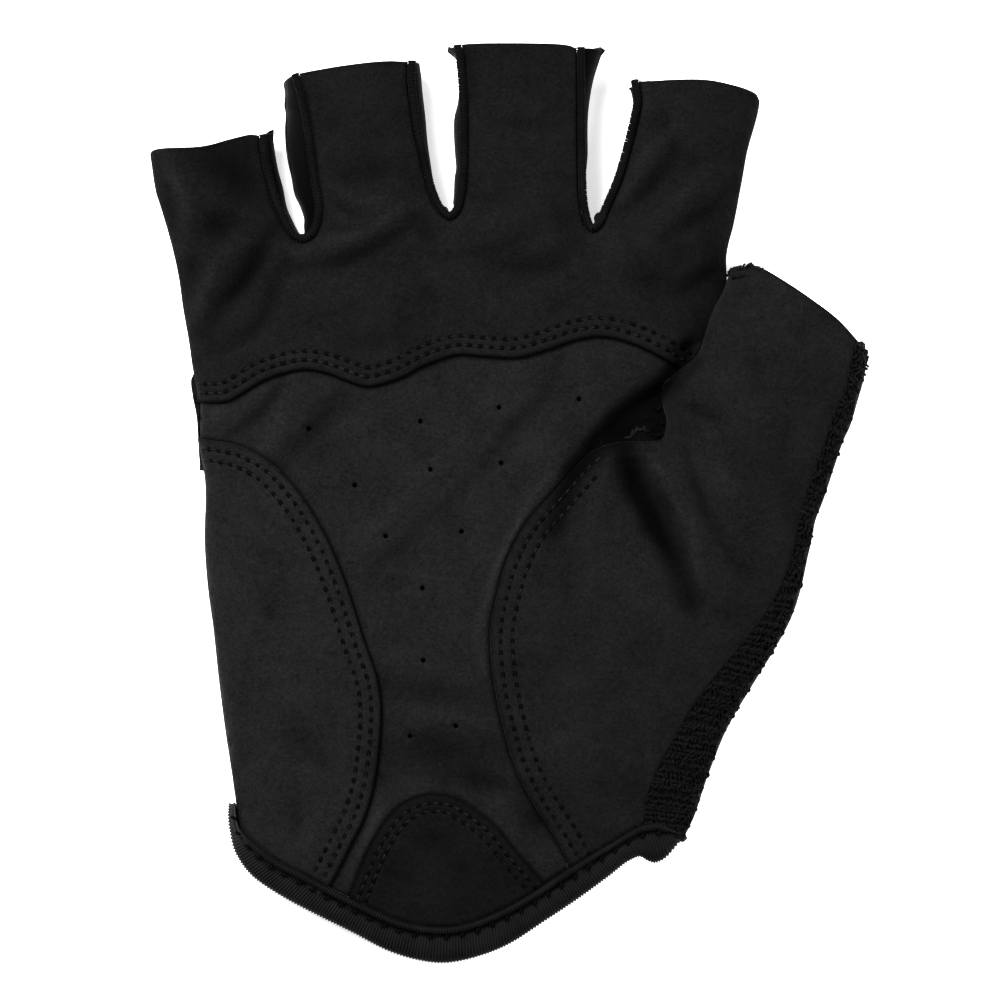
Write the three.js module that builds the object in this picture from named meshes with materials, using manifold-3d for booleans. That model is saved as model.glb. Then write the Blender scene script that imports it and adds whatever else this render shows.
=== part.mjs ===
// Right-hand short-finger cycling glove, lying palm up. Millimetres, +Z up, fingers toward +Y.
import * as THREE from "three";
import { mergeVertices } from "three/addons/utils/BufferGeometryUtils.js";
import Module from "manifold-3d";

// Sizes over all
const gloveWidth = 133;
const gloveLength = 170.8;
const palmDepth = 15;
const fingerDepth = 11;
const thumbHeight = 20;

// Layers and trim
const suedeThickness = 1.1;
const centreThickness = 0.9;
const underlap = 6;
const seamHeight = 5.5;
const fourchetteFoot = 3;
const holeDiameter = 1;
const pipingWidth = 2;
const pipingHeight = 1.1;
const bindingThickness = 0.8;
const backHemWidth = 4.5;
const backHemThickness = 1.9;

// Clearance between touching pieces
const pieceGap = 0.3;

// Shape of a section: exponents that square its sides and top, the height of its widest point as a
// share of its depth, and how fast its underside runs out flat
const sideRoundness = 0.85;
const topRoundness = 0.75;
const widestShare = 0.42;
const undersideSlope = 1.4;

// Fineness of the facets: steps over the top of a form, angles in half turns along its underside
const palmSteps = 11;
const thumbSteps = 9;
const fingerSteps = 7;
const undersideAngles = [1.11, 1.256, 1.744, 1.89];
const curveSteps = 2;

// Columns: left u, left v, right u, right v, underside, top. u is a share of gloveWidth from the left,
// v a share of gloveLength from the cuff, and the last two are shares of the form's own height.
const palmSections = [
  [0.127, -0.050, 0.683, -0.050, 0, 0.42],
  [0.122, 0.037, 0.694, 0.037, 0, 0.60],
  [0.120, 0.102, 0.700, 0.106, 0, 0.78],
  [0.118, 0.156, 0.711, 0.156, 0, 0.88],
  [0.111, 0.221, 0.722, 0.221, 0, 0.95],
  [0.100, 0.286, 0.739, 0.286, 0, 1.00],
  [0.085, 0.384, 0.759, 0.384, 0, 1.00],
  [0.076, 0.481, 0.775, 0.481, 0, 0.98],
  [0.078, 0.524, 0.773, 0.520, 0, 0.96],
  [0.068, 0.557, 0.766, 0.555, 0, 0.94],
  [0.068, 0.584, 0.706, 0.572, 0, 0.92],
  [0.067, 0.616, 0.704, 0.607, 0, 0.90],
  [0.057, 0.654, 0.738, 0.650, 0, 0.87],
  [0.050, 0.698, 0.772, 0.698, 0, 0.84],
  [0.039, 0.743, 0.795, 0.743, 0, 0.80],
  [0.028, 0.776, 0.803, 0.774, 0, 0.72],
];
const littleSections = [
  [0.070, 0.692, 0.266, 0.719, 0, 0.95],
  [0.052, 0.735, 0.252, 0.754, 0, 1.02],
  [0.034, 0.774, 0.229, 0.778, 0, 1.02],
  [0.024, 0.801, 0.210, 0.794, 0, 0.96],
  [0.014, 0.823, 0.191, 0.828, 0, 0.90],
  [0.004, 0.852, 0.179, 0.862, 0, 0.90],
  [0.000, 0.879, 0.171, 0.902, 0, 0.95],
  [-0.004, 0.909, 0.166, 0.933, 0, 0.98],
];
const ringSections = [
  [0.196, 0.687, 0.460, 0.709, 0, 1.00],
  [0.188, 0.746, 0.453, 0.765, 0, 1.08],
  [0.196, 0.778, 0.438, 0.795, 0, 1.05],
  [0.211, 0.794, 0.417, 0.819, 0, 1.00],
  [0.206, 0.822, 0.408, 0.832, 0, 0.94],
  [0.195, 0.866, 0.391, 0.876, 0, 0.92],
  [0.189, 0.917, 0.384, 0.923, 0, 0.95],
  [0.188, 0.959, 0.377, 0.977, 0, 1.00],
  [0.186, 0.990, 0.373, 1.009, 0, 1.00],
];
const middleSections = [
  [0.384, 0.709, 0.648, 0.719, 0, 1.00],
  [0.391, 0.765, 0.644, 0.761, 0, 1.10],
  [0.401, 0.795, 0.630, 0.784, 0, 1.08],
  [0.417, 0.819, 0.613, 0.800, 0, 1.04],
  [0.424, 0.839, 0.608, 0.830, 0, 0.98],
  [0.424, 0.882, 0.611, 0.887, 0, 0.95],
  [0.427, 0.936, 0.615, 0.936, 0, 0.95],
  [0.431, 0.971, 0.622, 0.964, 0, 1.00],
  [0.419, 0.995, 0.630, 0.990, 0, 1.06],
  [0.413, 1.023, 0.636, 1.018, 0, 1.08],
];
const indexSections = [
  [0.579, 0.709, 0.755, 0.699, 0, 0.95],
  [0.586, 0.761, 0.789, 0.744, 0, 1.05],
  [0.595, 0.782, 0.804, 0.771, 0, 1.04],
  [0.615, 0.800, 0.812, 0.789, 0, 1.00],
  [0.637, 0.828, 0.819, 0.820, 0, 0.94],
  [0.655, 0.860, 0.828, 0.857, 0, 0.92],
  [0.669, 0.906, 0.839, 0.895, 0, 0.95],
  [0.677, 0.953, 0.851, 0.935, 0, 1.00],
  [0.683, 0.985, 0.860, 0.966, 0, 1.00],
];
const thumbSections = [
  [0.606, -0.050, 0.722, -0.050, 0, 0.30],
  [0.592, 0.048, 0.733, 0.048, 0, 0.42],
  [0.586, 0.124, 0.747, 0.132, 0, 0.56],
  [0.565, 0.189, 0.772, 0.189, 0, 0.68],
  [0.551, 0.254, 0.804, 0.254, 0, 0.78],
  [0.551, 0.319, 0.854, 0.319, 0, 0.84],
  [0.565, 0.378, 0.896, 0.378, 0, 0.88],
  [0.613, 0.449, 0.918, 0.438, 0, 0.90],
  [0.669, 0.514, 0.942, 0.503, 0.03, 0.93],
  [0.716, 0.568, 0.964, 0.555, 0.05, 0.96],
  [0.716, 0.611, 0.982, 0.598, 0.08, 0.98],
  [0.752, 0.654, 0.992, 0.627, 0.10, 1.00],
  [0.786, 0.706, 0.999, 0.648, 0.12, 1.00],
  [0.815, 0.754, 1.001, 0.663, 0.12, 0.98],
  [0.846, 0.793, 1.031, 0.696, 0.12, 0.98],
];

// Folds of the palm side. Columns: start u, start v, end u, end v, then half width and height
// (minus for a valley) as shares of palmDepth.
const folds = [
  [0.666, 0.559, 0.741, 0.411, 0.22, -0.17],
  [0.739, 0.503, 0.775, 0.400, 0.20, 0.08],
  [0.766, 0.476, 0.822, 0.427, 0.20, -0.06],
  [0.147, 0.779, 0.064, 0.687, 0.25, -0.07],
  [0.092, 0.779, 0.071, 0.730, 0.20, 0.04],
  [0.815, 0.844, 0.627, 0.784, 0.28, -0.06],
  [0.210, 0.768, 0.363, 0.801, 0.22, 0.04],
  [0.196, 0.616, 0.113, 0.573, 0.25, -0.05],
  [0.252, 0.589, 0.196, 0.535, 0.25, -0.05],
];

// Plan lines. Columns: u, v.
const fingerMouths = [
  [-0.040, 0.871], [0.000, 0.879], [0.071, 0.885], [0.149, 0.901], [0.171, 0.902], [0.181, 0.931],
  [0.188, 0.959], [0.204, 0.962], [0.327, 0.979], [0.376, 0.977], [0.395, 0.984], [0.414, 0.990],
  [0.439, 0.997], [0.572, 0.996], [0.602, 0.999], [0.631, 0.990], [0.652, 0.973], [0.677, 0.953],
  [0.766, 0.958], [0.843, 0.945], [0.853, 0.935], [0.905, 0.904],
];
const thumbMouth = [
  [0.839, 0.774], [0.818, 0.758], [0.847, 0.754], [0.883, 0.737], [0.917, 0.719], [0.953, 0.698],
  [0.981, 0.676], [0.999, 0.661], [1.031, 0.644],
];
const thumbSlit = [
  [0.716, 0.563], [0.711, 0.581], [0.708, 0.600], [0.712, 0.622], [0.739, 0.650], [0.765, 0.689],
  [0.797, 0.748], [0.811, 0.767], [0.833, 0.801],
];
const waveEdge = [
  [-0.050, 0.611], [0.074, 0.610], [0.113, 0.611], [0.157, 0.628], [0.210, 0.644], [0.259, 0.634],
  [0.300, 0.626], [0.349, 0.634], [0.391, 0.651], [0.435, 0.662], [0.488, 0.658], [0.544, 0.661],
  [0.592, 0.677], [0.616, 0.681], [0.662, 0.671], [0.718, 0.650],
];
const heelEdge = [
  [-0.050, 0.566], [0.074, 0.561], [0.127, 0.557], [0.166, 0.542], [0.210, 0.507], [0.245, 0.468],
  [0.273, 0.416], [0.296, 0.360], [0.317, 0.308], [0.323, 0.273], [0.317, 0.210], [0.300, 0.161],
  [0.273, 0.115], [0.235, 0.064], [0.180, 0.000],
];
const thenarEdge = [
  [0.716, 0.572], [0.683, 0.570], [0.627, 0.560], [0.586, 0.533], [0.551, 0.501], [0.519, 0.465],
  [0.498, 0.436], [0.483, 0.400], [0.474, 0.356], [0.476, 0.324], [0.483, 0.291], [0.495, 0.248],
  [0.512, 0.210], [0.537, 0.172], [0.565, 0.137], [0.592, 0.104], [0.627, 0.059],
];
const patchArch = [
  [0.270, -0.020], [0.280, 0.053], [0.291, 0.086], [0.314, 0.129], [0.342, 0.161], [0.384, 0.184],
  [0.419, 0.185], [0.453, 0.169], [0.488, 0.141], [0.516, 0.111], [0.551, 0.075], [0.600, 0.000],
];
const terrySeam = [
  [0.992, 0.692], [0.976, 0.657], [0.965, 0.620], [0.946, 0.584], [0.926, 0.541], [0.908, 0.489],
  [0.892, 0.438], [0.864, 0.391], [0.829, 0.351], [0.787, 0.313], [0.752, 0.275], [0.725, 0.237],
  [0.704, 0.205], [0.691, 0.172], [0.686, 0.145], [0.684, 0.091],
];
const backSeam = [
  [0.716, 0.563], [0.739, 0.503], [0.752, 0.438], [0.750, 0.351], [0.732, 0.264], [0.716, 0.199],
  [0.704, 0.145], [0.697, 0.069],
];
const backHemEdge = [
  [-0.026, 0.128], [0.115, 0.124], [0.210, 0.113], [0.428, 0.106], [0.627, 0.106], [0.707, 0.111],
  [0.740, 0.128], [0.800, 0.150],
];
// Cuff binding. Columns: outer u, outer v, inner u, inner v.
const cuffEdges = [
  [0.108, 0.174, 0.131, 0.174],
  [0.108, 0.150, 0.131, 0.154],
  [0.117, 0.121, 0.140, 0.132],
  [0.140, 0.096, 0.171, 0.119],
  [0.182, 0.074, 0.214, 0.102],
  [0.231, 0.053, 0.259, 0.083],
  [0.280, 0.033, 0.302, 0.066],
  [0.328, 0.013, 0.342, 0.051],
  [0.374, 0.001, 0.382, 0.043],
  [0.416, -0.002, 0.419, 0.042],
  [0.460, 0.004, 0.455, 0.048],
  [0.505, 0.020, 0.495, 0.061],
  [0.551, 0.043, 0.534, 0.079],
  [0.595, 0.068, 0.572, 0.099],
  [0.637, 0.092, 0.613, 0.119],
  [0.676, 0.115, 0.652, 0.137],
  [0.722, 0.124, 0.697, 0.150],
  [0.780, 0.126, 0.766, 0.143],
];
// Seams round the finger gaps, down one finger and up the next. Columns: u, v.
const fingerGaps = {
  little_ring: [
    [0.153, 0.925], [0.159, 0.887], [0.170, 0.849], [0.184, 0.819], [0.197, 0.793], [0.214, 0.781],
    [0.232, 0.791], [0.241, 0.813], [0.236, 0.844], [0.228, 0.882], [0.218, 0.931], [0.209, 0.979],
  ],
  ring_middle: [
    [0.359, 1.001], [0.367, 0.925], [0.378, 0.871], [0.391, 0.835], [0.403, 0.814], [0.419, 0.806],
    [0.434, 0.816], [0.439, 0.839], [0.442, 0.904], [0.441, 0.963], [0.435, 1.012],
  ],
  middle_index: [
    [0.592, 1.012], [0.594, 0.914], [0.597, 0.849], [0.599, 0.810], [0.611, 0.792], [0.627, 0.797],
    [0.641, 0.823], [0.658, 0.860], [0.672, 0.900], [0.680, 0.936], [0.683, 0.979],
  ],
};
// Ventilation holes of the centre panel. Columns: u, v.
const holeCentres = [
  [0.223, 0.580], [0.378, 0.587], [0.485, 0.605], [0.598, 0.613], [0.285, 0.519], [0.392, 0.537],
  [0.490, 0.544], [0.330, 0.465], [0.435, 0.470], [0.380, 0.408], [0.382, 0.332], [0.426, 0.260],
];

const wasm = await Module();
wasm.setup();

// Plan geometry
const place = ([u, v]) => new THREE.Vector2((u - 0.5) * gloveWidth, (v - 0.5) * gloveLength);
const smooth = (line) => {
  const curve = new THREE.SplineCurve(line.map(place));
  return curve.getPoints((line.length - 1) * curveSteps);
};
const corners = (...line) => line.map(place);

// Moves a line sideways, to its left for a positive distance.
function shifted(line, distance) {
  return line.map((point, i) => {
    const before = line[Math.max(i - 1, 0)];
    const after = line[Math.min(i + 1, line.length - 1)];
    const along = after.clone().sub(before).normalize();
    return new THREE.Vector2(point.x - along.y * distance, point.y + along.x * distance);
  });
}

// Height of the folds at a point of the plan
function foldAt(x, y) {
  const point = new THREE.Vector3(x, y, 0);
  const nearest = new THREE.Vector3();
  let height = 0;
  for (const [startU, startV, endU, endV, halfWidth, rise] of folds) {
    const start = place([startU, startV]);
    const end = place([endU, endV]);
    const stroke = new THREE.Line3(
      new THREE.Vector3(start.x, start.y, 0),
      new THREE.Vector3(end.x, end.y, 0),
    );
    stroke.closestPointToPoint(point, true, nearest);
    const away = nearest.distanceTo(point) / (halfWidth * palmDepth);
    height += rise * palmDepth * Math.exp(-away * away);
  }
  return height;
}

// Solids
function solidOf(geometry) {
  geometry.deleteAttribute("normal");
  geometry.deleteAttribute("uv");
  const merged = mergeVertices(geometry, 1e-5);
  return new wasm.Manifold(new wasm.Mesh({
    numProp: 3,
    vertProperties: new Float32Array(merged.attributes.position.array),
    triVerts: new Uint32Array(merged.index.array),
  }));
}

function prism(outline, low, high) {
  const geometry = new THREE.ExtrudeGeometry(new THREE.Shape(outline), {
    depth: high - low,
    bevelEnabled: false,
  });
  geometry.translate(0, 0, low);
  return solidOf(geometry);
}

// One ring of a form: rounded over the top and sides, flat underneath.
function sectionRing([leftU, leftV, rightU, rightV, underside, top], height, inset, angles) {
  const left = place([leftU, leftV]);
  const right = place([rightU, rightV]);
  const centre = left.clone().add(right).multiplyScalar(0.5);
  const reach = right.clone().sub(left).multiplyScalar(0.5);
  reach.setLength(reach.length() - inset);
  const low = underside * height + inset;
  const high = top * height - inset;
  const widest = low + widestShare * (high - low);
  const points = [];
  for (const angle of angles) {
    const turned = Math.cos(angle * Math.PI);
    const across = Math.sign(turned) * Math.abs(turned) ** sideRoundness;
    const lift = Math.sin(angle * Math.PI);
    const x = centre.x + across * reach.x;
    const y = centre.y + across * reach.y;
    const rise = Math.abs(lift) ** topRoundness;
    const upper = widest + (high - widest) * rise + foldAt(x, y) * Math.abs(lift);
    const lower = widest - (widest - low) * Math.min(1, undersideSlope * Math.abs(lift));
    points.push(x, y, angle < 1 ? upper : lower);
  }
  return points;
}

// A closed form through a table of sections, each side moved in by inset.
function formOf(sections, height, inset, steps) {
  const overTop = Array.from({ length: steps + 1 }, (_, i) => i / steps);
  const angles = [...overTop, ...undersideAngles];
  const sides = angles.length;
  const positions = sections.flatMap((row) => sectionRing(row, height, inset, angles));
  const faces = [];
  for (let row = 0; row + 1 < sections.length; row++) {
    for (let i = 0; i < sides; i++) {
      const a = row * sides + i;
      const b = row * sides + ((i + 1) % sides);
      faces.push(a, a + sides, b, b, a + sides, b + sides);
    }
  }
  for (const [row, turn] of [[0, 1], [sections.length - 1, -1]]) {
    const ring = positions.slice(row * sides * 3, (row + 1) * sides * 3);
    const hub = positions.length / 3;
    for (const axis of [0, 1, 2]) {
      positions.push(ring.filter((_, i) => i % 3 === axis).reduce((sum, value) => sum + value) / sides);
    }
    for (let i = 0; i < sides; i++) {
      const a = row * sides + i;
      const b = row * sides + ((i + 1) % sides);
      faces.push(hub, turn > 0 ? a : b, turn > 0 ? b : a);
    }
  }
  const geometry = new THREE.BufferGeometry();
  geometry.setAttribute("position", new THREE.Float32BufferAttribute(positions, 3));
  geometry.setIndex(faces);
  return solidOf(geometry);
}

// The whole glove as one form, inset from its outer skin
function gloveForm(inset) {
  return [
    formOf(palmSections, palmDepth, inset, palmSteps),
    formOf(thumbSections, thumbHeight, inset, thumbSteps),
    formOf(littleSections, fingerDepth, inset, fingerSteps),
    formOf(ringSections, fingerDepth, inset, fingerSteps),
    formOf(middleSections, fingerDepth, inset, fingerSteps),
    formOf(indexSections, fingerDepth, inset, fingerSteps),
  ].reduce((whole, form) => whole.add(form));
}

// A skin between two insets of the glove form
const layer = (from, to) => gloveForm(from).subtract(gloveForm(to));

// Heights and places derived from the sizes
const floor = -2 * palmDepth;
const ceiling = 3 * thumbHeight;
const abovePalmSeam = seamHeight + pieceGap / 2;
const belowPalmSeam = seamHeight - pieceGap / 2;
const centreTop = suedeThickness + pieceGap;
const centreUnder = centreTop + centreThickness;
const bindingOuter = -pieceGap - bindingThickness;
const bindingInner = centreUnder + pieceGap + bindingThickness;

// Plan areas
const cuffOuter = smooth(cuffEdges.map(([u, v]) => [u, v]));
const cuffInner = smooth(cuffEdges.map(([, , u, v]) => [u, v]));
const insideCuff = (distance) => cuffOuter.map((point, i) => {
  const inward = cuffInner[i].clone().sub(point).setLength(distance);
  return point.clone().add(inward);
});
const mouthSide = [...smooth(thumbMouth).reverse(), ...corners(...fingerMouths).reverse()];
const palmAreaFrom = (distance) => [
  ...insideCuff(distance),
  ...corners([1.1, 0.15]),
  ...mouthSide,
  ...corners([-0.1, 0.85], [-0.1, 0.18]),
];
const backArea = [
  ...corners(...backHemEdge),
  ...corners([1.1, 0.2]),
  ...mouthSide,
  ...corners([-0.1, 0.85], [-0.1, 0.13]),
];
const fingerArea = [
  ...smooth(waveEdge),
  ...corners(...thumbSlit.slice(4), [1, 0.85], [1, 1.1], [-0.1, 1.1]),
];
const heelArea = [...smooth(heelEdge), ...corners([0, -0.1], [-0.1, -0.1])];
const terryLine = smooth(terrySeam);
const thumbArea = [
  ...smooth(thenarEdge).reverse(),
  ...corners(...thumbSlit.slice(1), [1, 0.85]),
  ...shifted(terryLine, -pieceGap),
  ...corners([0.66, 0]),
];
const terryArea = [...terryLine, ...corners([0.684, 0], [1.1, 0], [1.1, 0.75])];
const thumbBackLine = corners(...backSeam.slice().reverse(), ...thumbSlit.slice(1));
const centreArea = [
  ...shifted(smooth(waveEdge), underlap),
  ...corners([0.700, 0.600], [0.705, 0.575]),
  ...shifted(smooth(thenarEdge).slice(curveSteps * 2), underlap),
  ...corners([0.65, -0.1], [0.1, -0.1]),
  ...shifted(smooth(heelEdge), -underlap).reverse(),
];
const patchArea = smooth(patchArch);

// Skins of the palm side and of the back
const skin = layer(0, suedeThickness);
const palmArea = prism(palmAreaFrom(bindingThickness + pieceGap), abovePalmSeam, ceiling);
const palmSkin = skin.intersect(palmArea);
const backSkin = skin.intersect(prism(backArea, floor, belowPalmSeam));
const thumbSide = prism([...thumbBackLine, ...corners([1.1, 0.8], [1.1, 0])], floor, ceiling);
const thumbSideCleared = prism(
  [...shifted(thumbBackLine, pieceGap), ...corners([1.1, 0.8], [1.1, 0])],
  floor,
  ceiling,
);

const largestOf = (solid) => {
  const bodies = solid.decompose();
  return bodies.reduce((best, body) => (body.volume() > best.volume() ? body : best));
};

// The suede of the palm side
const gapAreas = Object.values(fingerGaps).map((line) => corners(...line));
function fingerPanel() {
  const openings = gapAreas.map((line) => prism(shifted(line, -pieceGap / 2), floor, ceiling));
  const panel = palmSkin.intersect(prism(fingerArea, abovePalmSeam, ceiling));
  return openings.reduce((cut, opening) => cut.subtract(opening), panel);
}
const outerHeelPanel = () => palmSkin.intersect(prism(heelArea, floor, ceiling));
const thumbPanel = () => palmSkin.intersect(prism(thumbArea, floor, ceiling));
function heelPatch() {
  const besideHeel = [...shifted(smooth(heelEdge), pieceGap), ...corners([0, -0.1], [-0.1, -0.1])];
  const besideThumb = [...shifted(smooth(thenarEdge), -pieceGap), ...corners([0.8, 0], [0.8, 0.6])];
  return palmSkin.intersect(prism(patchArea, floor, ceiling))
    .subtract(prism(besideHeel, floor, ceiling))
    .subtract(prism(besideThumb, floor, ceiling));
}

// The lower layer with its ventilation holes
function centrePanel() {
  const panel = layer(centreTop, centreUnder).intersect(palmArea)
    .intersect(prism(centreArea, abovePalmSeam, ceiling));
  const radius = holeDiameter / 2;
  return holeCentres.reduce((cut, centre) => {
    const { x, y } = place(centre);
    const hole = new THREE.CylinderGeometry(radius, radius, ceiling, 8);
    hole.rotateX(Math.PI / 2);
    hole.translate(x, y, ceiling / 2);
    return cut.subtract(solidOf(hole));
  }, panel);
}

// The back with the backs of the fingers, and the knit of the thumb
function backPanel() {
  const sides = gapAreas.map((line) => prism(
    shifted(line, -pieceGap / 2),
    fourchetteFoot - pieceGap,
    ceiling,
  ));
  const hem = prism(backHemBand(backHemWidth + pieceGap), floor, belowPalmSeam);
  const panel = backSkin.subtract(thumbSideCleared).subtract(hem);
  return sides.reduce((cut, side) => cut.subtract(side), panel);
}
function backHemBand(width) {
  const edge = corners(...backHemEdge);
  return [...shifted(edge, -width), ...shifted(edge, width).reverse()];
}
function backHem() {
  return layer(0, backHemThickness)
    .intersect(prism(backArea, floor, belowPalmSeam))
    .intersect(prism(backHemBand(backHemWidth), floor, belowPalmSeam));
}
function thumbBack() {
  const strip = palmSkin.intersect(prism(terryArea, floor, ceiling));
  const hem = prism(backHemBand(backHemWidth + pieceGap), floor, abovePalmSeam);
  const back = skin.intersect(prism(backArea, floor, belowPalmSeam)).intersect(thumbSide);
  const side = skin.intersect(prism(backArea, floor, ceiling))
    .intersect(prism(palmAreaFrom(bindingThickness + pieceGap), floor, ceiling))
    .intersect(prism(terryArea, belowPalmSeam - pieceGap, abovePalmSeam + pieceGap));
  return back.add(side).subtract(hem).add(strip);
}

// Side walls between the fingers, with the piping over their seams
function fourchette(line) {
  return skin.intersect(prism(shifted(line, pieceGap / 2), fourchetteFoot, ceiling))
    .intersect(prism(palmAreaFrom(0), floor, ceiling));
}
const pipingSkin = layer(-pieceGap - pipingHeight, -pieceGap);
function piping(line) {
  const ribbon = [...shifted(line, pipingWidth / 2), ...shifted(line, -pipingWidth / 2).reverse()];
  return pipingSkin.intersect(prism(ribbon, abovePalmSeam, ceiling))
    .intersect(prism(palmAreaFrom(0), floor, ceiling));
}

// Tape folded over the lower edge of the palm
function cuffBinding() {
  const band = prism([...cuffOuter, ...cuffInner.slice().reverse()], abovePalmSeam, ceiling);
  const slot = layer(-pieceGap, centreUnder + pieceGap)
    .intersect(prism(palmAreaFrom(bindingThickness), floor, ceiling));
  return layer(bindingOuter, bindingInner).intersect(band).subtract(slot);
}

// Colours
const suede = { color: 0x1d1d1f, roughness: 0.95, metalness: 0 };
const knit = { color: 0x232325, roughness: 0.9, metalness: 0 };
const tape = { color: 0x2a2a2c, roughness: 0.7, metalness: 0 };

const glove = new THREE.Group();
function addPiece(name, solid, material) {
  const { numProp, vertProperties, triVerts } = largestOf(solid).getMesh();
  const geometry = new THREE.BufferGeometry();
  geometry.setAttribute("position", new THREE.BufferAttribute(vertProperties, numProp));
  geometry.setIndex(new THREE.BufferAttribute(triVerts, 1));
  const mesh = new THREE.Mesh(geometry, new THREE.MeshStandardMaterial(material));
  mesh.name = name;
  glove.add(mesh);
}

addPiece("finger_panel", fingerPanel(), suede);
addPiece("centre_panel", centrePanel(), suede);
addPiece("outer_heel_panel", outerHeelPanel(), suede);
addPiece("thumb_panel", thumbPanel(), suede);
addPiece("heel_patch", heelPatch(), suede);
addPiece("back_panel", backPanel(), knit);
addPiece("back_hem", backHem(), tape);
addPiece("thumb_back", thumbBack(), knit);
addPiece("cuff_binding", cuffBinding(), tape);
for (const [name, line] of Object.entries(fingerGaps)) {
  addPiece(`fourchette_${name}`, fourchette(corners(...line)), knit);
  addPiece(`piping_${name}`, piping(corners(...line)), tape);
}

// The origin lies on the resting plane, under the middle of the glove.
const bounds = new THREE.Box3().setFromObject(glove);
const middle = bounds.getCenter(new THREE.Vector3());
glove.position.set(-middle.x, -middle.y, -bounds.min.z);

export default glove;
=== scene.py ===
import math
import random
import bpy
import numpy as np
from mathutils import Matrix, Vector, geometry, kdtree
from mathutils.bvhtree import BVHTree


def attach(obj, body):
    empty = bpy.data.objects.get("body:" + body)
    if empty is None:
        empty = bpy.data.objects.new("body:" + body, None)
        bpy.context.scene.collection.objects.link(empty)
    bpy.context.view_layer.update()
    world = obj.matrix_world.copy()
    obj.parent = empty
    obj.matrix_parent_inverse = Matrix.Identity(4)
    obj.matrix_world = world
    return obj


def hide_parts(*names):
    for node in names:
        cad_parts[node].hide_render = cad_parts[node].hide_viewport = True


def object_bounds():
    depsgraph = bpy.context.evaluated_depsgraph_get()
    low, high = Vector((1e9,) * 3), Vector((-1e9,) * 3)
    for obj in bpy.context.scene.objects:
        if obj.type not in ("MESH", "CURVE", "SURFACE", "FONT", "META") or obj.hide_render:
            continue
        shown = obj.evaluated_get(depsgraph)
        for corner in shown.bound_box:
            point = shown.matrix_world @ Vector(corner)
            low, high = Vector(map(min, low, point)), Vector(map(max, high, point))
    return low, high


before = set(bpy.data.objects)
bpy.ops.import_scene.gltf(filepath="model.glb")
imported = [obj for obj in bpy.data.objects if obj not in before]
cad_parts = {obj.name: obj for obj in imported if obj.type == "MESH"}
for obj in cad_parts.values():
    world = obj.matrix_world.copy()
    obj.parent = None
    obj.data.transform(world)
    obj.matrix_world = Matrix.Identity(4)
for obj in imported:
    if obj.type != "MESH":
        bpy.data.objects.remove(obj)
cadLow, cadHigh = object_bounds()
boxWidth = cadHigh[0] - cadLow[0]
boxLength = cadHigh[1] - cadLow[1]
boxHeight = cadHigh[2] - cadLow[2]
mm = 0.001

# Places are shares: u of the glove's width from its left side, v of its length from the cuff's lowest
# point. The tables give both in thousandths.
cuffStart = 0.002  # the tape's thickness below v = 0


def place(u, v):
    return Vector((cadLow[0] + u * boxWidth, cadLow[1] + (v + cuffStart) * boxLength))


def shares(table):  # turns the thousandths of a table into shares
    if isinstance(table, dict):
        return {key: shares(rows) for key, rows in table.items()}
    if isinstance(table, (list, tuple)):
        return type(table)(shares(row) for row in table)
    return table / 1000


# Camera and light

cameraView = {
    "photoCentre": (0.4885, 0.5030),
    "photoSpan": 1.3908,  # width of the picture as a share of the glove's width
    "focusHeight": 10 * mm,
    "lens": 200,
    "sensor": 36,
}


def addCamera():
    centre = place(*cameraView["photoCentre"])
    camera = bpy.data.objects.new("camera", bpy.data.cameras.new("camera"))
    camera.data.lens = cameraView["lens"]
    camera.data.sensor_width = cameraView["sensor"]
    span = cameraView["photoSpan"] * boxWidth
    away = span * cameraView["lens"] / cameraView["sensor"]
    camera.location = (centre.x, centre.y, cameraView["focusHeight"] + away)
    bpy.context.collection.objects.link(camera)
    bpy.context.scene.camera = camera


lights = {
    "key": {"at": (-0.95, 1.15, 1.50), "size": 1.0, "power": 95.0},
    "fill": {"at": (1.30, -0.20, 1.10), "size": 0.90, "power": 22.0},
    "world": 0.30,
    "floorGlow": 0.70,
    "gamma": 0.72,
}


def addLight(name):
    choice = lights[name]
    light = bpy.data.objects.new(name + "Light", bpy.data.lights.new(name + "Light", "AREA"))
    light.data.size = choice["size"]
    light.data.energy = choice["power"]
    light.location = choice["at"]
    light.rotation_euler = (-Vector(choice["at"])).to_track_quat("-Z", "Y").to_euler()
    bpy.context.collection.objects.link(light)


addCamera()
addLight("key")
addLight("fill")
bpy.context.scene.view_settings.view_transform = "Standard"
bpy.context.scene.view_settings.gamma = lights["gamma"]
world = bpy.data.worlds.new("studio")
world.use_nodes = True
background = world.node_tree.nodes["Background"].inputs
background["Color"].default_value = (1, 1, 1, 1)
background["Strength"].default_value = lights["world"]
bpy.context.scene.world = world
print("camera and light done")


# Shaders

class Value:  # a number in a shader: sums on it add Math nodes
    def __init__(self, shader, socket):
        self.shader = shader
        self.socket = socket

    def combine(self, operation, other):
        made = self.shader.node("ShaderNodeMath", {"operation": operation}, {0: self, 1: other})
        return Value(self.shader, made.outputs[0])

    def __add__(self, other):
        return self.combine("ADD", other)

    def __mul__(self, other):
        return self.combine("MULTIPLY", other)

    def sine(self):
        return self.combine("SINE", 0)

    def between(self, low, high):
        inputs = {"Value": self, "From Min": low, "From Max": high}
        made = self.shader.node("ShaderNodeMapRange", {"clamp": True}, inputs)
        return Value(self.shader, made.outputs["Result"])


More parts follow.
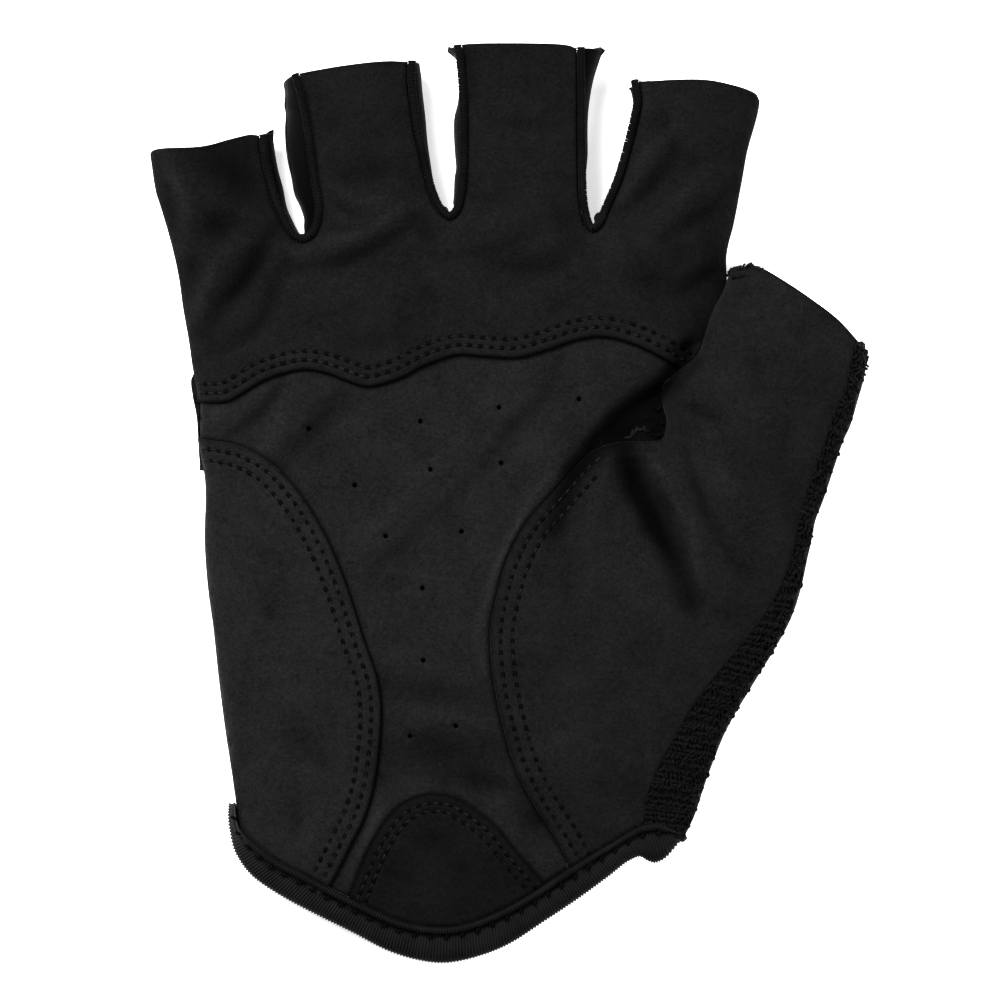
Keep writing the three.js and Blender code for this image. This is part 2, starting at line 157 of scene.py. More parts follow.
class Shader:
    def __init__(self, name):
        self.material = bpy.data.materials.new(name)
        self.material.use_nodes = True
        self.tree = self.material.node_tree
        self.tree.nodes.clear()
        self.coords = self.node("ShaderNodeTexCoord").outputs["Object"]

    def node(self, kind, settings=None, inputs=None):
        made = self.tree.nodes.new(kind)
        for key, value in (settings or {}).items():
            setattr(made, key, value)
        for key, value in (inputs or {}).items():
            if isinstance(value, Value):
                value = value.socket
            if isinstance(value, bpy.types.NodeSocket):
                self.tree.links.new(value, made.inputs[key])
            else:
                made.inputs[key].default_value = value
        return made

    def noise(self, size, detail, roughness):
        inputs = {"Vector": self.coords, "Scale": 1 / size, "Detail": detail, "Roughness": roughness}
        return Value(self, self.node("ShaderNodeTexNoise", None, inputs).outputs["Fac"])

    def axis(self, name):
        split = self.node("ShaderNodeSeparateXYZ", None, {0: self.coords})
        return Value(self, split.outputs[name])

    def tint(self, factor, look, brightness=1.0):
        dark, light = ([*(channel * brightness for channel in look[end]), 1] for end in ("dark", "light"))
        inputs = {0: factor, 6: dark, 7: light}
        return self.node("ShaderNodeMix", {"data_type": "RGBA"}, inputs).outputs[2]

    def withPaintedShade(self, colour):  # scales a colour by the painted shade and highlight that the mesh carries
        tone = self.node("ShaderNodeAttribute", {"attribute_name": "napAndPaintedShade"}).outputs["Fac"]
        inputs = {0: colour, "Scale": tone}
        return self.node("ShaderNodeVectorMath", {"operation": "SCALE"}, inputs).outputs[0]

    def finish(self, colour, height, depth, roughness, sheen, sheenRoughness=0.4):
        bump = self.node("ShaderNodeBump", None, {"Strength": 1.0, "Distance": depth, "Height": height})
        inputs = {
            "Base Color": colour,
            "Normal": bump.outputs[0],
            "Roughness": roughness,
            "Sheen Weight": sheen,
            "Sheen Roughness": sheenRoughness,
            "Sheen Tint": (1, 1, 1, 1),
            "Specular IOR Level": 0.06,
        }
        surface = self.node("ShaderNodeBsdfPrincipled", None, inputs)
        self.node("ShaderNodeOutputMaterial", None, {"Surface": surface.outputs[0]})
        return self.material


suedeLook = {
    "dark": (0.0065, 0.0065, 0.0070),
    "light": (0.0330, 0.0330, 0.0340),
    "napSize": 0.50 * mm,
    "grainSize": 1.3 * mm,
    "mottleSize": 8 * mm,
    "lintSize": 1.1 * mm,
    "bumpDepth": 0.16 * mm,
    "sheen": 0.08,
    # Each panel's brightness is partly the suede's own tone and partly painted shade.
    "brightness": {
        "fingerSuede": 0.72, "centreSuede": 0.98, "heelSuede": 1.0, "thumbSuede": 0.82, "patchSuede": 0.57,
    },
}


def suedeMaterial(name):
    brightness = suedeLook["brightness"][name]
    shader = Shader(name)
    # the suede's own nap grain; the painted shade comes in through the mesh attribute
    napAndPaintedShade = shader.noise(suedeLook["napSize"], 3, 0.7)
    grain = shader.noise(suedeLook["grainSize"], 3, 0.6)
    mottle = shader.noise(suedeLook["mottleSize"], 3, 0.6)
    lint = shader.noise(suedeLook["lintSize"], 1, 0.4).between(0.80, 0.86)
    mask = napAndPaintedShade.between(0.3, 0.7) * 0.55 + grain.between(0.3, 0.7) * 0.20 + mottle.between(0.3, 0.7) * 0.25
    colour = shader.withPaintedShade(shader.tint(mask + lint * 1.5, suedeLook, brightness))
    return shader.finish(colour, napAndPaintedShade + grain * 0.8, suedeLook["bumpDepth"], mottle * 0.1 + 0.82,
                         suedeLook["sheen"] * brightness)


knitLook = {
    "dark": (0.006, 0.006, 0.0065),
    "light": (0.020, 0.020, 0.021),
    "fuzzSize": 0.4 * mm,
    "bumpDepth": 0.12 * mm,
    "sheen": 0.12,
    "kinds": {
        "backKnit": {"brightness": 1.0, "ribPitch": 1.0 * mm, "coursePitch": 0.7 * mm, "relief": 1.0},
        "gussetKnit": {"brightness": 1.0, "ribPitch": 0.45 * mm, "coursePitch": 0.35 * mm, "relief": 0.2},
        "terryKnit": {"brightness": 0.8, "ribPitch": 1.3 * mm, "coursePitch": 0.9 * mm, "relief": 1.0},
    },
}


def knitMaterial(name):
    kind = knitLook["kinds"][name]
    shader = Shader(name)
    rib = (shader.axis("X") * (2 * math.pi / kind["ribPitch"])).sine()
    course = (shader.axis("Y") * (2 * math.pi / kind["coursePitch"])).sine()
    fuzz = shader.noise(knitLook["fuzzSize"], 3, 0.6)
    weave = rib * (0.5 * kind["relief"]) + course * (0.3 * kind["relief"]) + fuzz * 0.6
    colour = shader.withPaintedShade(shader.tint(weave.between(-0.6, 1.2), knitLook, kind["brightness"]))
    return shader.finish(colour, weave, knitLook["bumpDepth"], fuzz * 0.1 + 0.8, knitLook["sheen"])


threadLook = {
    "strandSize": 0.25 * mm,
    "driftSize": 5 * mm,
    "bumpDepth": 0.04 * mm,
    "sheenRoughness": 0.3,
    "kinds": {
        "terryLoops": {"dark": (0.0050, 0.0050, 0.0055), "light": (0.0155, 0.0155, 0.0160), "sheen": 0.08},
        "ribbedTape": {"dark": (0.0110, 0.0110, 0.0115), "light": (0.0270, 0.0270, 0.0280), "sheen": 0.1},
        "ribbedCord": {"dark": (0.0046, 0.0046, 0.0050), "light": (0.0145, 0.0145, 0.0150), "sheen": 0.08},
        # The next two are a darker and a lighter copy of the terry loops: painted shade deep in the crotch,
        # painted highlight on loops at the thumb's mouth and the crotch's edge.
        "deepLoops": {"dark": (0.0020, 0.0020, 0.0022), "light": (0.0060, 0.0060, 0.0063), "sheen": 0.03},
        "looseLoops": {"dark": (0.0070, 0.0070, 0.0075), "light": (0.0260, 0.0260, 0.0270), "sheen": 0.1},
        "thread": {"dark": (0.0080, 0.0080, 0.0090), "light": (0.0360, 0.0360, 0.0380), "sheen": 0.2},
        # near-black: painted shadow in the needle holes, also the dark stitches on the cuff tape
        "darkStitchAndHoleShadow": {"dark": (0.0028, 0.0028, 0.0028), "light": (0.0036, 0.0036, 0.0036), "sheen": 0.0},
    },
    # materials whose colour takes the painted shade that the mesh carries
    "withPaintedShade": ("ribbedTape",),
}


def threadMaterial(name):
    kind = threadLook["kinds"][name]
    shader = Shader(name)
    strand = shader.noise(threadLook["strandSize"], 2, 0.6)
    drift = shader.noise(threadLook["driftSize"], 2, 0.5)
    colour = shader.tint(strand * 0.6 + drift.between(0.3, 0.7) * 0.5, kind)
    if name in threadLook["withPaintedShade"]:
        colour = shader.withPaintedShade(colour)
    return shader.finish(colour, strand, threadLook["bumpDepth"], strand * 0.2 + 0.55, kind["sheen"],
                         threadLook["sheenRoughness"])


materials = {name: suedeMaterial(name) for name in suedeLook["brightness"]}
materials.update({name: knitMaterial(name) for name in knitLook["kinds"]})
materials.update({name: threadMaterial(name) for name in threadLook["kinds"]})
print("materials done")


# Plan lines of the glove as it lies. Each pair is (u, v).

waveEdge = shares([
    (62, 611), (85, 609), (115, 612), (161, 633), (210, 644), (245, 641), (280, 631), (307, 626),
    (349, 635), (384, 649), (426, 660), (460, 659), (509, 657), (551, 665), (592, 676), (627, 680),
    (662, 675), (697, 664), (741, 645), (766, 632),
])
heelEdge = shares([
    (67, 570), (113, 564), (140, 557), (175, 540), (210, 510), (238, 476), (259, 443), (280, 400),
    (300, 351), (317, 313), (323, 281), (321, 243), (314, 199), (300, 161), (280, 129), (255, 91),
    (235, 70),
])
thenarEdge = shares([
    (711, 567), (680, 566), (648, 565), (613, 554), (586, 532), (558, 508), (523, 476), (498, 438),
    (484, 400), (476, 367), (476, 335), (481, 302), (491, 264), (509, 216), (537, 172), (561, 143),
    (581, 116), (600, 90),
])
patchArch = shares([
    (268, 55), (282, 78), (300, 113), (321, 145), (349, 172), (384, 184), (419, 183), (446, 172),
    (481, 151), (509, 124), (547, 89), (565, 68),
])
leftSide = shares([
    (121, 171), (115, 205), (108, 237), (103, 264), (96, 308), (89, 362), (81, 405), (76, 459), (78, 503),
    (75, 535), (67, 568), (67, 616), (60, 644), (54, 676), (46, 711), (40, 745), (33, 771), (24, 797),
    (14, 823), (7, 841), (0, 879),
])
indexSide = shares([
    (851, 936), (847, 919), (834, 884), (828, 858), (821, 828), (814, 801), (808, 784), (804, 766),
    (805, 745), (803, 715), (796, 685), (782, 655), (766, 634),
])
thumbSide = shares([
    (999, 661), (993, 633), (985, 611), (975, 584), (965, 568), (955, 546), (946, 524), (937, 503),
    (926, 481), (921, 459), (915, 438), (910, 416), (903, 394), (893, 373), (879, 351), (862, 329),
    (844, 308), (828, 286), (811, 264), (798, 243), (787, 221), (776, 199), (768, 178), (758, 156),
    (745, 137),
])
terrySeam = shares([
    (982, 675), (975, 652), (968, 622), (949, 589), (936, 559), (925, 535), (905, 486), (892, 438),
    (864, 389), (829, 351), (787, 313), (752, 275), (725, 237), (704, 205), (693, 178), (688, 140),
])
thumbLeft = shares([
    (711, 567), (717, 574), (720, 589), (716, 600), (714, 613), (715, 624), (723, 633), (736, 643),
    (752, 652), (764, 662), (775, 686), (783, 705), (797, 726), (805, 741), (813, 752),
])
littleMouth = shares([
    (0, 879), (10, 884), (71, 886), (113, 894), (140, 899), (153, 898),
])
ringMouth = shares([
    (209, 965), (238, 969), (280, 974), (327, 978), (360, 978),
])
middleMouth = shares([
    (435, 996), (445, 997), (488, 997), (572, 996), (595, 992),
])
indexMouth = shares([
    (682, 958), (695, 957), (766, 958), (808, 953), (843, 945), (851, 936),
])
thumbMouth = shares([
    (813, 752), (832, 755), (847, 754), (883, 737), (917, 719), (953, 698), (982, 675),
])
gapSeams = shares({  # the palm suede's edge
    "little_ring": [
        (153, 898), (154, 882), (161, 852), (172, 822), (189, 795), (197, 787), (210, 782), (228, 786),
        (239, 802), (242, 823), (236, 852), (229, 893), (220, 934), (211, 960), (209, 965),
    ],
    "ring_middle": [
        (360, 978), (360, 952), (367, 909), (376, 876), (387, 841), (398, 820), (410, 809), (420, 806),
        (433, 815), (441, 839), (444, 882), (443, 936), (439, 979), (435, 996),
    ],
    "middle_index": [
        (595, 992), (596, 958), (596, 909), (597, 860), (599, 828), (605, 804), (612, 794), (619, 793),
        (631, 800), (641, 818), (658, 850), (672, 887), (684, 927), (685, 941), (682, 958),
    ],
})
gapOutlines = shares({  # the silhouette below the seam
    "little_ring": [
        (171, 902), (172, 890), (175, 874), (179, 859), (185, 842), (190, 822), (199, 806), (207, 794),
        (212, 790), (215, 794), (214, 801), (214, 810), (209, 822), (201, 836), (197, 854), (192, 871),
        (189, 888), (188, 906), (189, 923), (187, 932), (188, 945), (186, 957), (191, 961),
    ],
    "ring_middle": [
        (376, 978), (378, 966), (380, 947), (384, 920), (387, 893), (392, 866), (397, 841), (401, 830),
        (406, 824), (414, 822), (418, 816), (423, 815), (426, 819), (423, 826), (424, 835), (425, 854),
        (427, 865), (425, 885), (424, 907), (425, 920), (429, 934), (431, 947), (433, 966), (430, 978),
        (426, 984), (415, 991),
    ],
    "middle_index": [
        (633, 992), (627, 980), (620, 963), (615, 944), (612, 925), (611, 905), (611, 880), (610, 869),
        (607, 844), (606, 829), (610, 821), (607, 809), (610, 800), (616, 799), (621, 804), (620, 811),
        (625, 816), (636, 820), (654, 854), (663, 880), (671, 908), (675, 931), (674, 940), (671, 951),
    ],
})
hemEdges = shares([  # outer u, outer v, inner u, inner v
    (109, 173, 120, 172), (108, 160, 122, 158), (110, 143, 128, 145), (118, 120, 146, 132),
    (142, 95, 177, 114), (184, 73, 217, 98), (232, 53, 259, 81), (281, 34, 302, 64), (330, 14, 345, 49),
    (374, 3, 382, 42), (414, 0, 416, 41), (458, 7, 452, 47), (502, 21, 494, 61), (551, 46, 534, 79),
    (595, 69, 572, 99), (637, 93, 613, 119), (664, 110, 642, 132), (682, 116.6, 662, 142.5),
    (694, 112, 677, 149.5), (704.3, 109.6, 690, 153), (717.7, 113.8, 704, 154), (730, 123.5, 716, 151),
    (740, 132.7, 727, 146), (748, 138, 740, 141),
])
backHemEdge = shares([
    (112, 135), (150, 120), (210, 113), (428, 106), (627, 104), (690, 106), (712, 113), (728, 124),
])
ventHoles = shares([
    (223, 580), (378, 588), (487, 603), (598, 612), (287, 519), (392, 536), (490, 543), (330, 464),
    (435, 469), (381, 408), (382, 330), (427, 259), (364, 248),
])


def spline(rows, steps):  # Catmull-Rom through rows of any length
    rows = [np.array(row, float) for row in rows]
    padded = [2 * rows[0] - rows[1], *rows, 2 * rows[-1] - rows[-2]]
    made = []
    for a, b, c, d in zip(padded, padded[1:], padded[2:], padded[3:]):
        for step in range(steps):
            t = step / steps
            made.append(0.5 * (2 * b + (c - a) * t + (2 * a - 5 * b + 4 * c - d) * t ** 2
                               + (3 * b - a - 3 * c + d) * t ** 3))
    return [*made, rows[-1]]


def evenly(points, spacing):  # a plan line with points at an even spacing
    points = [Vector(point[:2]) for point in points]
    lengths = [0.0]
    for a, b in zip(points, points[1:]):
        lengths.append(lengths[-1] + (b - a).length)
    count = max(1, round(lengths[-1] / spacing))
    marks = np.linspace(0, lengths[-1], count + 1)
    xs = np.interp(marks, lengths, [point.x for point in points])
    ys = np.interp(marks, lengths, [point.y for point in points])
    return [Vector((x, y)) for x, y in zip(xs, ys)]


def traced(line, spacing=0.6 * mm):
    return evenly([place(*row) for row in spline(line, 6)], spacing)


def tracedBack(line):
    return list(reversed(traced(line)))


def planArray(points):
    return np.array([tuple(point) for point in points])


def raised(plan, heights):  # plan points with their heights
    return [(x, y, z) for (x, y), z in zip(plan, heights)]


def shifted(line, distance):  # to the left of its direction for a positive distance
    made = []
    for i, point in enumerate(line):
        along = (line[min(i + 1, len(line) - 1)] - line[max(i - 1, 0)]).normalized()
        made.append(point + Vector((-along.y, along.x)) * distance)
    return made


# The glove's shape: rounded forms, joined and smoothed into one skin

forms = {
    "widestAt": 0.42,  # height of the widest point as a share of the depth
    "squareSide": 0.85,
    "squareTop": 0.75,
    "undersideSlope": 1.4,
    "voxel": 0.9 * mm,
    "smoothing": 6,
}
palmDepth = 15 * mm
fingerDepth = 11 * mm
thumbHeight = boxHeight
# Columns: left u, left v, right u, right v, underside and top as thousandths of the form's own height.
palmSections = shares([
    (127, -50, 683, -50, 0, 420), (122, 37, 694, 37, 0, 600), (120, 102, 700, 106, 0, 780),
    (118, 156, 711, 156, 0, 880), (111, 221, 722, 221, 0, 950), (100, 286, 739, 286, 0, 1000),
    (85, 384, 759, 384, 0, 1000), (76, 481, 775, 481, 0, 980), (78, 524, 770, 520, 0, 960),
    (68, 557, 752, 555, 0, 940), (68, 584, 738, 580, 0, 920), (67, 616, 744, 615, 0, 900),
    (57, 654, 774, 650, 0, 870), (50, 698, 800, 698, 0, 840), (39, 743, 806, 743, 0, 800),
    (28, 776, 806, 774, 0, 720),
])
littleSections = shares([
    (70, 692, 266, 719, 0, 950), (52, 735, 252, 754, 0, 1020), (34, 774, 229, 778, 0, 1020),
    (24, 801, 210, 794, 0, 960), (14, 823, 191, 828, 0, 900), (4, 852, 179, 862, 0, 900),
    (0, 879, 171, 902, 0, 950), (-4, 909, 166, 933, 0, 980),
])
ringSections = shares([
    (196, 687, 460, 709, 0, 1000), (188, 746, 453, 765, 0, 1080), (196, 778, 438, 795, 0, 1050),
    (211, 794, 417, 819, 0, 1000), (206, 822, 408, 832, 0, 940), (195, 866, 391, 876, 0, 920),
    (189, 917, 384, 923, 0, 950), (188, 959, 377, 977, 0, 1000), (186, 990, 373, 1009, 0, 1000),
])
middleSections = shares([
    (384, 709, 648, 719, 0, 1000), (391, 765, 644, 761, 0, 1100), (401, 795, 630, 784, 0, 1080),
    (417, 819, 613, 800, 0, 1040), (424, 839, 608, 830, 0, 980), (424, 882, 611, 887, 0, 950),
    (427, 936, 615, 936, 0, 950), (431, 971, 622, 964, 0, 1000), (419, 995, 630, 990, 0, 1060),
    (413, 1023, 636, 1018, 0, 1080),
])
indexSections = shares([
    (579, 709, 755, 699, 0, 950), (586, 761, 789, 744, 0, 1050), (595, 782, 804, 771, 0, 1040),
    (615, 800, 812, 789, 0, 1000), (637, 828, 819, 820, 0, 940), (655, 860, 828, 857, 0, 920),
    (669, 906, 839, 895, 0, 950), (677, 953, 851, 935, 0, 1000), (683, 985, 860, 966, 0, 1000),
])
thumbSections = shares([
    (606, -50, 722, -50, 0, 300), (592, 48, 733, 48, 0, 420), (586, 124, 747, 132, 0, 560),
    (565, 189, 772, 189, 0, 680), (551, 254, 804, 254, 0, 780), (551, 319, 854, 319, 0, 840),
    (565, 378, 896, 378, 0, 880), (613, 449, 918, 438, 0, 900), (669, 514, 942, 503, 30, 930),
    (716, 568, 964, 555, 50, 960), (716, 611, 982, 598, 80, 980), (752, 654, 992, 627, 100, 1000),
    (786, 706, 999, 648, 120, 1000), (815, 754, 1001, 663, 120, 980), (846, 793, 1031, 696, 120, 980),
])


def gridFaces(rows, columns, closed=False):
    faces = []
    for row in range(rows - 1):
        for column in range(columns if closed else columns - 1):
            a = row * columns + column
            b = row * columns + (column + 1) % columns
            faces.append((a, b, b + columns, a + columns))
    return faces


def tubeFaces(rows, columns):  # rings joined into a tube, with a face at each end
    last = (rows - 1) * columns
    return [*gridFaces(rows, columns, True), tuple(reversed(range(columns))), tuple(range(last, last + columns))]


def formMesh(sections, height, sides=40):
    verts = []
    rows = spline(sections, 4)
    for leftU, leftV, rightU, rightV, underside, top in rows:
        left = place(leftU, leftV)
        right = place(rightU, rightV)
        centre = (left + right) / 2
        reach = (right - left) / 2
        low = underside * height
        high = top * height
        widest = low + forms["widestAt"] * (high - low)
        for i in range(sides):
            angle = 2 * math.pi * (i + 0.5) / sides
            across = math.copysign(abs(math.cos(angle)) ** forms["squareSide"], math.cos(angle))
            lift = math.sin(angle)
            if lift > 0:
                z = widest + (high - widest) * lift ** forms["squareTop"]
            else:
                z = widest - (widest - low) * min(1, -forms["undersideSlope"] * lift)
            verts.append((centre.x + across * reach.x, centre.y + across * reach.y, z))
    return verts, tubeFaces(len(rows), sides)


def smoothSkin(parts):
    verts = []
    faces = []
    for sections, height in parts:
        newVerts, newFaces = formMesh(sections, height)
        faces += [tuple(len(verts) + i for i in face) for face in newFaces]
        verts += newVerts
    mesh = bpy.data.meshes.new("skinForm")
    mesh.from_pydata(verts, [], faces)
    form = bpy.data.objects.new("skinForm", mesh)
    bpy.context.collection.objects.link(form)
    remesh = form.modifiers.new("remesh", "REMESH")
    remesh.mode = "VOXEL"
    remesh.voxel_size = forms["voxel"]
    smooth = form.modifiers.new("smooth", "SMOOTH")
    smooth.iterations = forms["smoothing"]
    tree = BVHTree.FromObject(form, bpy.context.evaluated_depsgraph_get())
    bpy.data.objects.remove(form)
    return tree


palmParts = [
    (palmSections, palmDepth), (littleSections, fingerDepth), (ringSections, fingerDepth),
    (middleSections, fingerDepth), (indexSections, fingerDepth),
]
palmSkin = smoothSkin(palmParts)
wholeSkin = smoothSkin([*palmParts, (thumbSections, thumbHeight)])
print("skin done")

# Folds of the suede: half width in millimetres, strength, then u and v of each point that the fold
# follows. Ridges, raised and given a painted highlight, are positive; hollows, sunk and given painted shade,
# negative.
folds = [
    (3.6, -0.4, 88, 880, 110, 858, 135, 843, 160, 832),
    (1.8, -0.22, 124, 891, 160, 882),
    (1.3, 0.42, 22, 880, 36, 847, 49, 822, 49, 774),
    (0.9, -0.25, 24, 841, 32, 797),
    (2.6, -0.4, 71, 793, 110, 806),
    (1.5, -0.25, 57, 776, 63, 739),
    (1.4, 0.12, 90, 821, 129, 817),
    (1.6, 0.45, 127, 784, 99, 763, 81, 736, 67, 711, 49, 687),
    (1.7, -0.55, 177, 800, 157, 774, 140, 750, 118, 728, 99, 713, 90, 698),
    (1.6, 0.1, 149, 737, 127, 711, 107, 693),
    (1.6, -0.3, 193, 765, 177, 736, 164, 709, 146, 687, 121, 673, 88, 663),
    (1.4, -0.25, 63, 687, 88, 674),
    (1.2, 0.14, 88, 650, 129, 663, 163, 680),
    (1.15, 0.32, 204, 772, 252, 781, 285, 787, 318, 800, 355, 821),
    (1.4, -0.45, 199, 754, 252, 758, 285, 766, 321, 779, 352, 795, 371, 808),
    (0.9, 0.22, 257, 843, 291, 826, 338, 828),
    (0.6, -0.18, 252, 826, 291, 810),
    (0.6, 0.14, 246, 815, 296, 800),
    (0.5, -0.14, 241, 795, 310, 797),
    (2.4, -0.24, 266, 852, 310, 858, 352, 858),
    (1.3, -0.18, 238, 899, 268, 914),
    (4, 0.08, 224, 735, 330, 719),
    (1.6, -0.16, 268, 665, 344, 678),
    (2, -0.14, 382, 719, 346, 685),
    (1.7, -0.14, 382, 810, 394, 774),
    (1.1, -0.26, 449, 977, 453, 940),
    (1.7, -0.16, 477, 910, 572, 904),
    (3, 0.08, 516, 849, 544, 865),
    (1.4, -0.14, 469, 828, 491, 828),
    (1.4, 0.1, 466, 800, 488, 804),
    (1.1, -0.2, 394, 763, 452, 771, 488, 777, 522, 789, 544, 800),
    (2, -0.24, 480, 761, 530, 754, 572, 763, 588, 778),
    (2.1, -0.22, 569, 821, 591, 789),
    (2.4, 0.09, 613, 787, 583, 741, 522, 722, 452, 696),
    (1.8, -0.16, 382, 800, 391, 784),
    (2, -0.16, 380, 739, 391, 719),
    (1.4, -0.12, 547, 702, 580, 719),
    (1.1, 0.3, 739, 906, 697, 882, 672, 854, 655, 828),
    (1.4, -0.45, 733, 882, 711, 856, 688, 836, 655, 815),
    (1.4, -0.18, 739, 869, 775, 871),
    (1.6, 0.26, 772, 854, 739, 826, 702, 802),
    (1.3, -0.4, 819, 847, 783, 819, 750, 802, 716, 784),
    (1.5, -0.22, 783, 797, 783, 771),
    (2.6, -0.2, 722, 761, 752, 769),
    (2.4, -0.26, 691, 754, 700, 726),
    (2, -0.26, 733, 726, 769, 741),
    (1.4, -0.25, 772, 745, 794, 765),
    (0.8, 0.12, 739, 741, 741, 728),
    (1, -0.5, 733, 663, 769, 678),
    (1.1, -0.25, 766, 706, 775, 676),
    (0.6, 0.22, 691, 951, 690, 912),
    (1.3, -0.14, 705, 917, 716, 908),
    (0.9, 0.12, 719, 897, 752, 925),
    (1.1, -0.42, 185, 628, 152, 596, 110, 572),
    (1.2, 0.24, 202, 624, 174, 574, 152, 548),
    (1, 0.2, 85, 592, 107, 600),
    (2, -0.34, 266, 611, 229, 579, 185, 540),
    (1.4, -0.14, 260, 568, 227, 546),
    (2.4, 0.08, 280, 572, 299, 583),
    (1.5, 0.15, 477, 611, 424, 563, 391, 531, 360, 505, 321, 477, 282, 442, 280, 407),
    (1.2, -0.18, 505, 579, 441, 516, 385, 481, 352, 452, 320, 433, 302, 394),
    (1.4, -0.24, 572, 654, 544, 607, 505, 582, 466, 542),
    (1.4, 0.1, 633, 631, 588, 603, 549, 576, 510, 540, 494, 501),
    (0.9, 0.28, 630, 589, 580, 544, 538, 512, 508, 468, 483, 427, 467, 385, 459, 355, 466, 316),
    (1.2, -0.12, 408, 492, 421, 468),
    (2.2, 0.1, 374, 371, 419, 364),
    (1.1, -0.14, 316, 355, 371, 348),
    (2.4, -0.24, 327, 299, 391, 293, 485, 286),
    (1.4, -0.18, 321, 325, 330, 301),
    (1.1, 0.14, 382, 321, 399, 321),
    (1.2, -0.14, 427, 334, 441, 329),
    (1.6, 0.1, 377, 267, 455, 262),
    (3.6, -0.28, 327, 223, 405, 230, 488, 221),
    (2.2, -0.4, 419, 204, 460, 199, 516, 189),
    (2.2, -0.4, 522, 171, 552, 139),
    (1, 0.18, 541, 124, 552, 104),
    (0.9, 0.3, 327, 171, 299, 128, 282, 104),
    (1.2, -0.2, 318, 197, 330, 208),
    (1.6, -0.2, 152, 488, 171, 483),
    (1.5, -0.16, 154, 442, 171, 442),
    (1.9, -0.2, 168, 392, 168, 364),
    (2.4, 0.1, 182, 334, 188, 303),
    (2.4, -0.22, 204, 262, 218, 230),
    (1.8, -0.16, 227, 225, 252, 219),
    (1.3, -0.18, 202, 171, 204, 139),
    (1.2, 0.16, 235, 165, 218, 124),
    (1.4, -0.12, 235, 286, 260, 269),
    (2.6, -0.2, 388, 139, 405, 128),
    (2.6, -0.2, 338, 87, 349, 104),
    (2.4, -0.16, 421, 108, 458, 95),
    (2, 0.1, 366, 67, 413, 69),
    (1.9, -0.8, 752, 652, 713, 620, 677, 605, 644, 585, 616, 563, 586, 535),
    (1.9, -0.4, 752, 665, 716, 626, 683, 609),
    (1.5, -0.5, 702, 596, 669, 579, 627, 561),
    (2.1, -0.62, 644, 568, 605, 542, 580, 511, 561, 470),
    (1.3, -0.28, 583, 503, 561, 451),
    (1.4, 0.14, 650, 555, 630, 522, 616, 459),
    (2.3, -0.76, 661, 572, 666, 544, 675, 519, 691, 492, 711, 462, 733, 431, 752, 390),
    (2.4, -0.42, 652, 583, 666, 544, 686, 507, 702, 477),
    (1.2, -0.3, 700, 520, 730, 477),
    (0.9, 0.22, 683, 561, 705, 540, 725, 516),
    (0.4, 0.25, 716, 520, 733, 497, 744, 479),
    (1, 0.34, 752, 477, 757, 449, 764, 414),
    (1.2, -0.34, 744, 557, 752, 530, 766, 503, 780, 477, 803, 446),
    (1.2, -0.2, 803, 446, 830, 420),
    (1.6, 0.22, 775, 572, 789, 544, 803, 514, 819, 485),
    (1.3, -0.28, 736, 609, 786, 589),
    (1.1, 0.12, 766, 576, 816, 574),
    (1.6, -0.14, 833, 663, 844, 628),
    (1.1, -0.12, 816, 618, 894, 620),
    (1.5, 0.16, 955, 691, 964, 663, 947, 626, 925, 596, 908, 555),
    (2.2, -0.16, 886, 576, 872, 546, 889, 514),
    (1.5, -0.14, 883, 683, 905, 678),
    (1.5, 0.14, 861, 438, 872, 470, 864, 496),
    (1.5, 0.14, 652, 423, 697, 394, 744, 377),
    (4.5, 0.12, 566, 249, 577, 230),
    (2, 0.1, 572, 308, 594, 295),
    (1.7, -0.12, 577, 418, 588, 390),
    (1.7, -0.12, 683, 371, 691, 329),
    (1.5, -0.14, 797, 375, 814, 381),
    (2.6, -0.12, 652, 197, 677, 184),
    (1, 0.14, 691, 273, 700, 199),
    (1.7, -0.14, 502, 321, 530, 329),
    (0.7, 0.35, 722, 631, 752, 652, 766, 670, 772, 700),
    (1.1, -0.62, 735, 628, 700, 616, 664, 597, 636, 577, 612, 558),
    (5, -0.1, 85, 835, 112, 800, 125, 755, 128, 700),
    (4.6, -0.15, 62, 884, 100, 868, 135, 850, 155, 815),
    (3.4, -0.14, 75, 806, 100, 797, 130, 790),
    (1.6, -0.2, 168, 792, 152, 765, 130, 735),
    (5.2, -0.07, 345, 235, 400, 215, 450, 235),
    (4.6, -0.06, 560, 640, 620, 620, 690, 650),
]
foldShape = {
    "depth": 1.0,  # height of a fold of strength 1 as a share of its half width
    "napAndPaintedShade": 1.35,  # how much of its strength is painted into the colour, as shade in hollows and highlight on ridges
    "darkest": 0.08,
    "taper": 0.6,
    "blunt": 0.12,  # the share of its length at each end where the taper stops
    "reach": 2.6,  # how far it shows, in half widths
    "fadeFrom": 4 * mm,  # low on the glove's sides the folds run out over this stretch
    "fadeOver": 5 * mm,
}


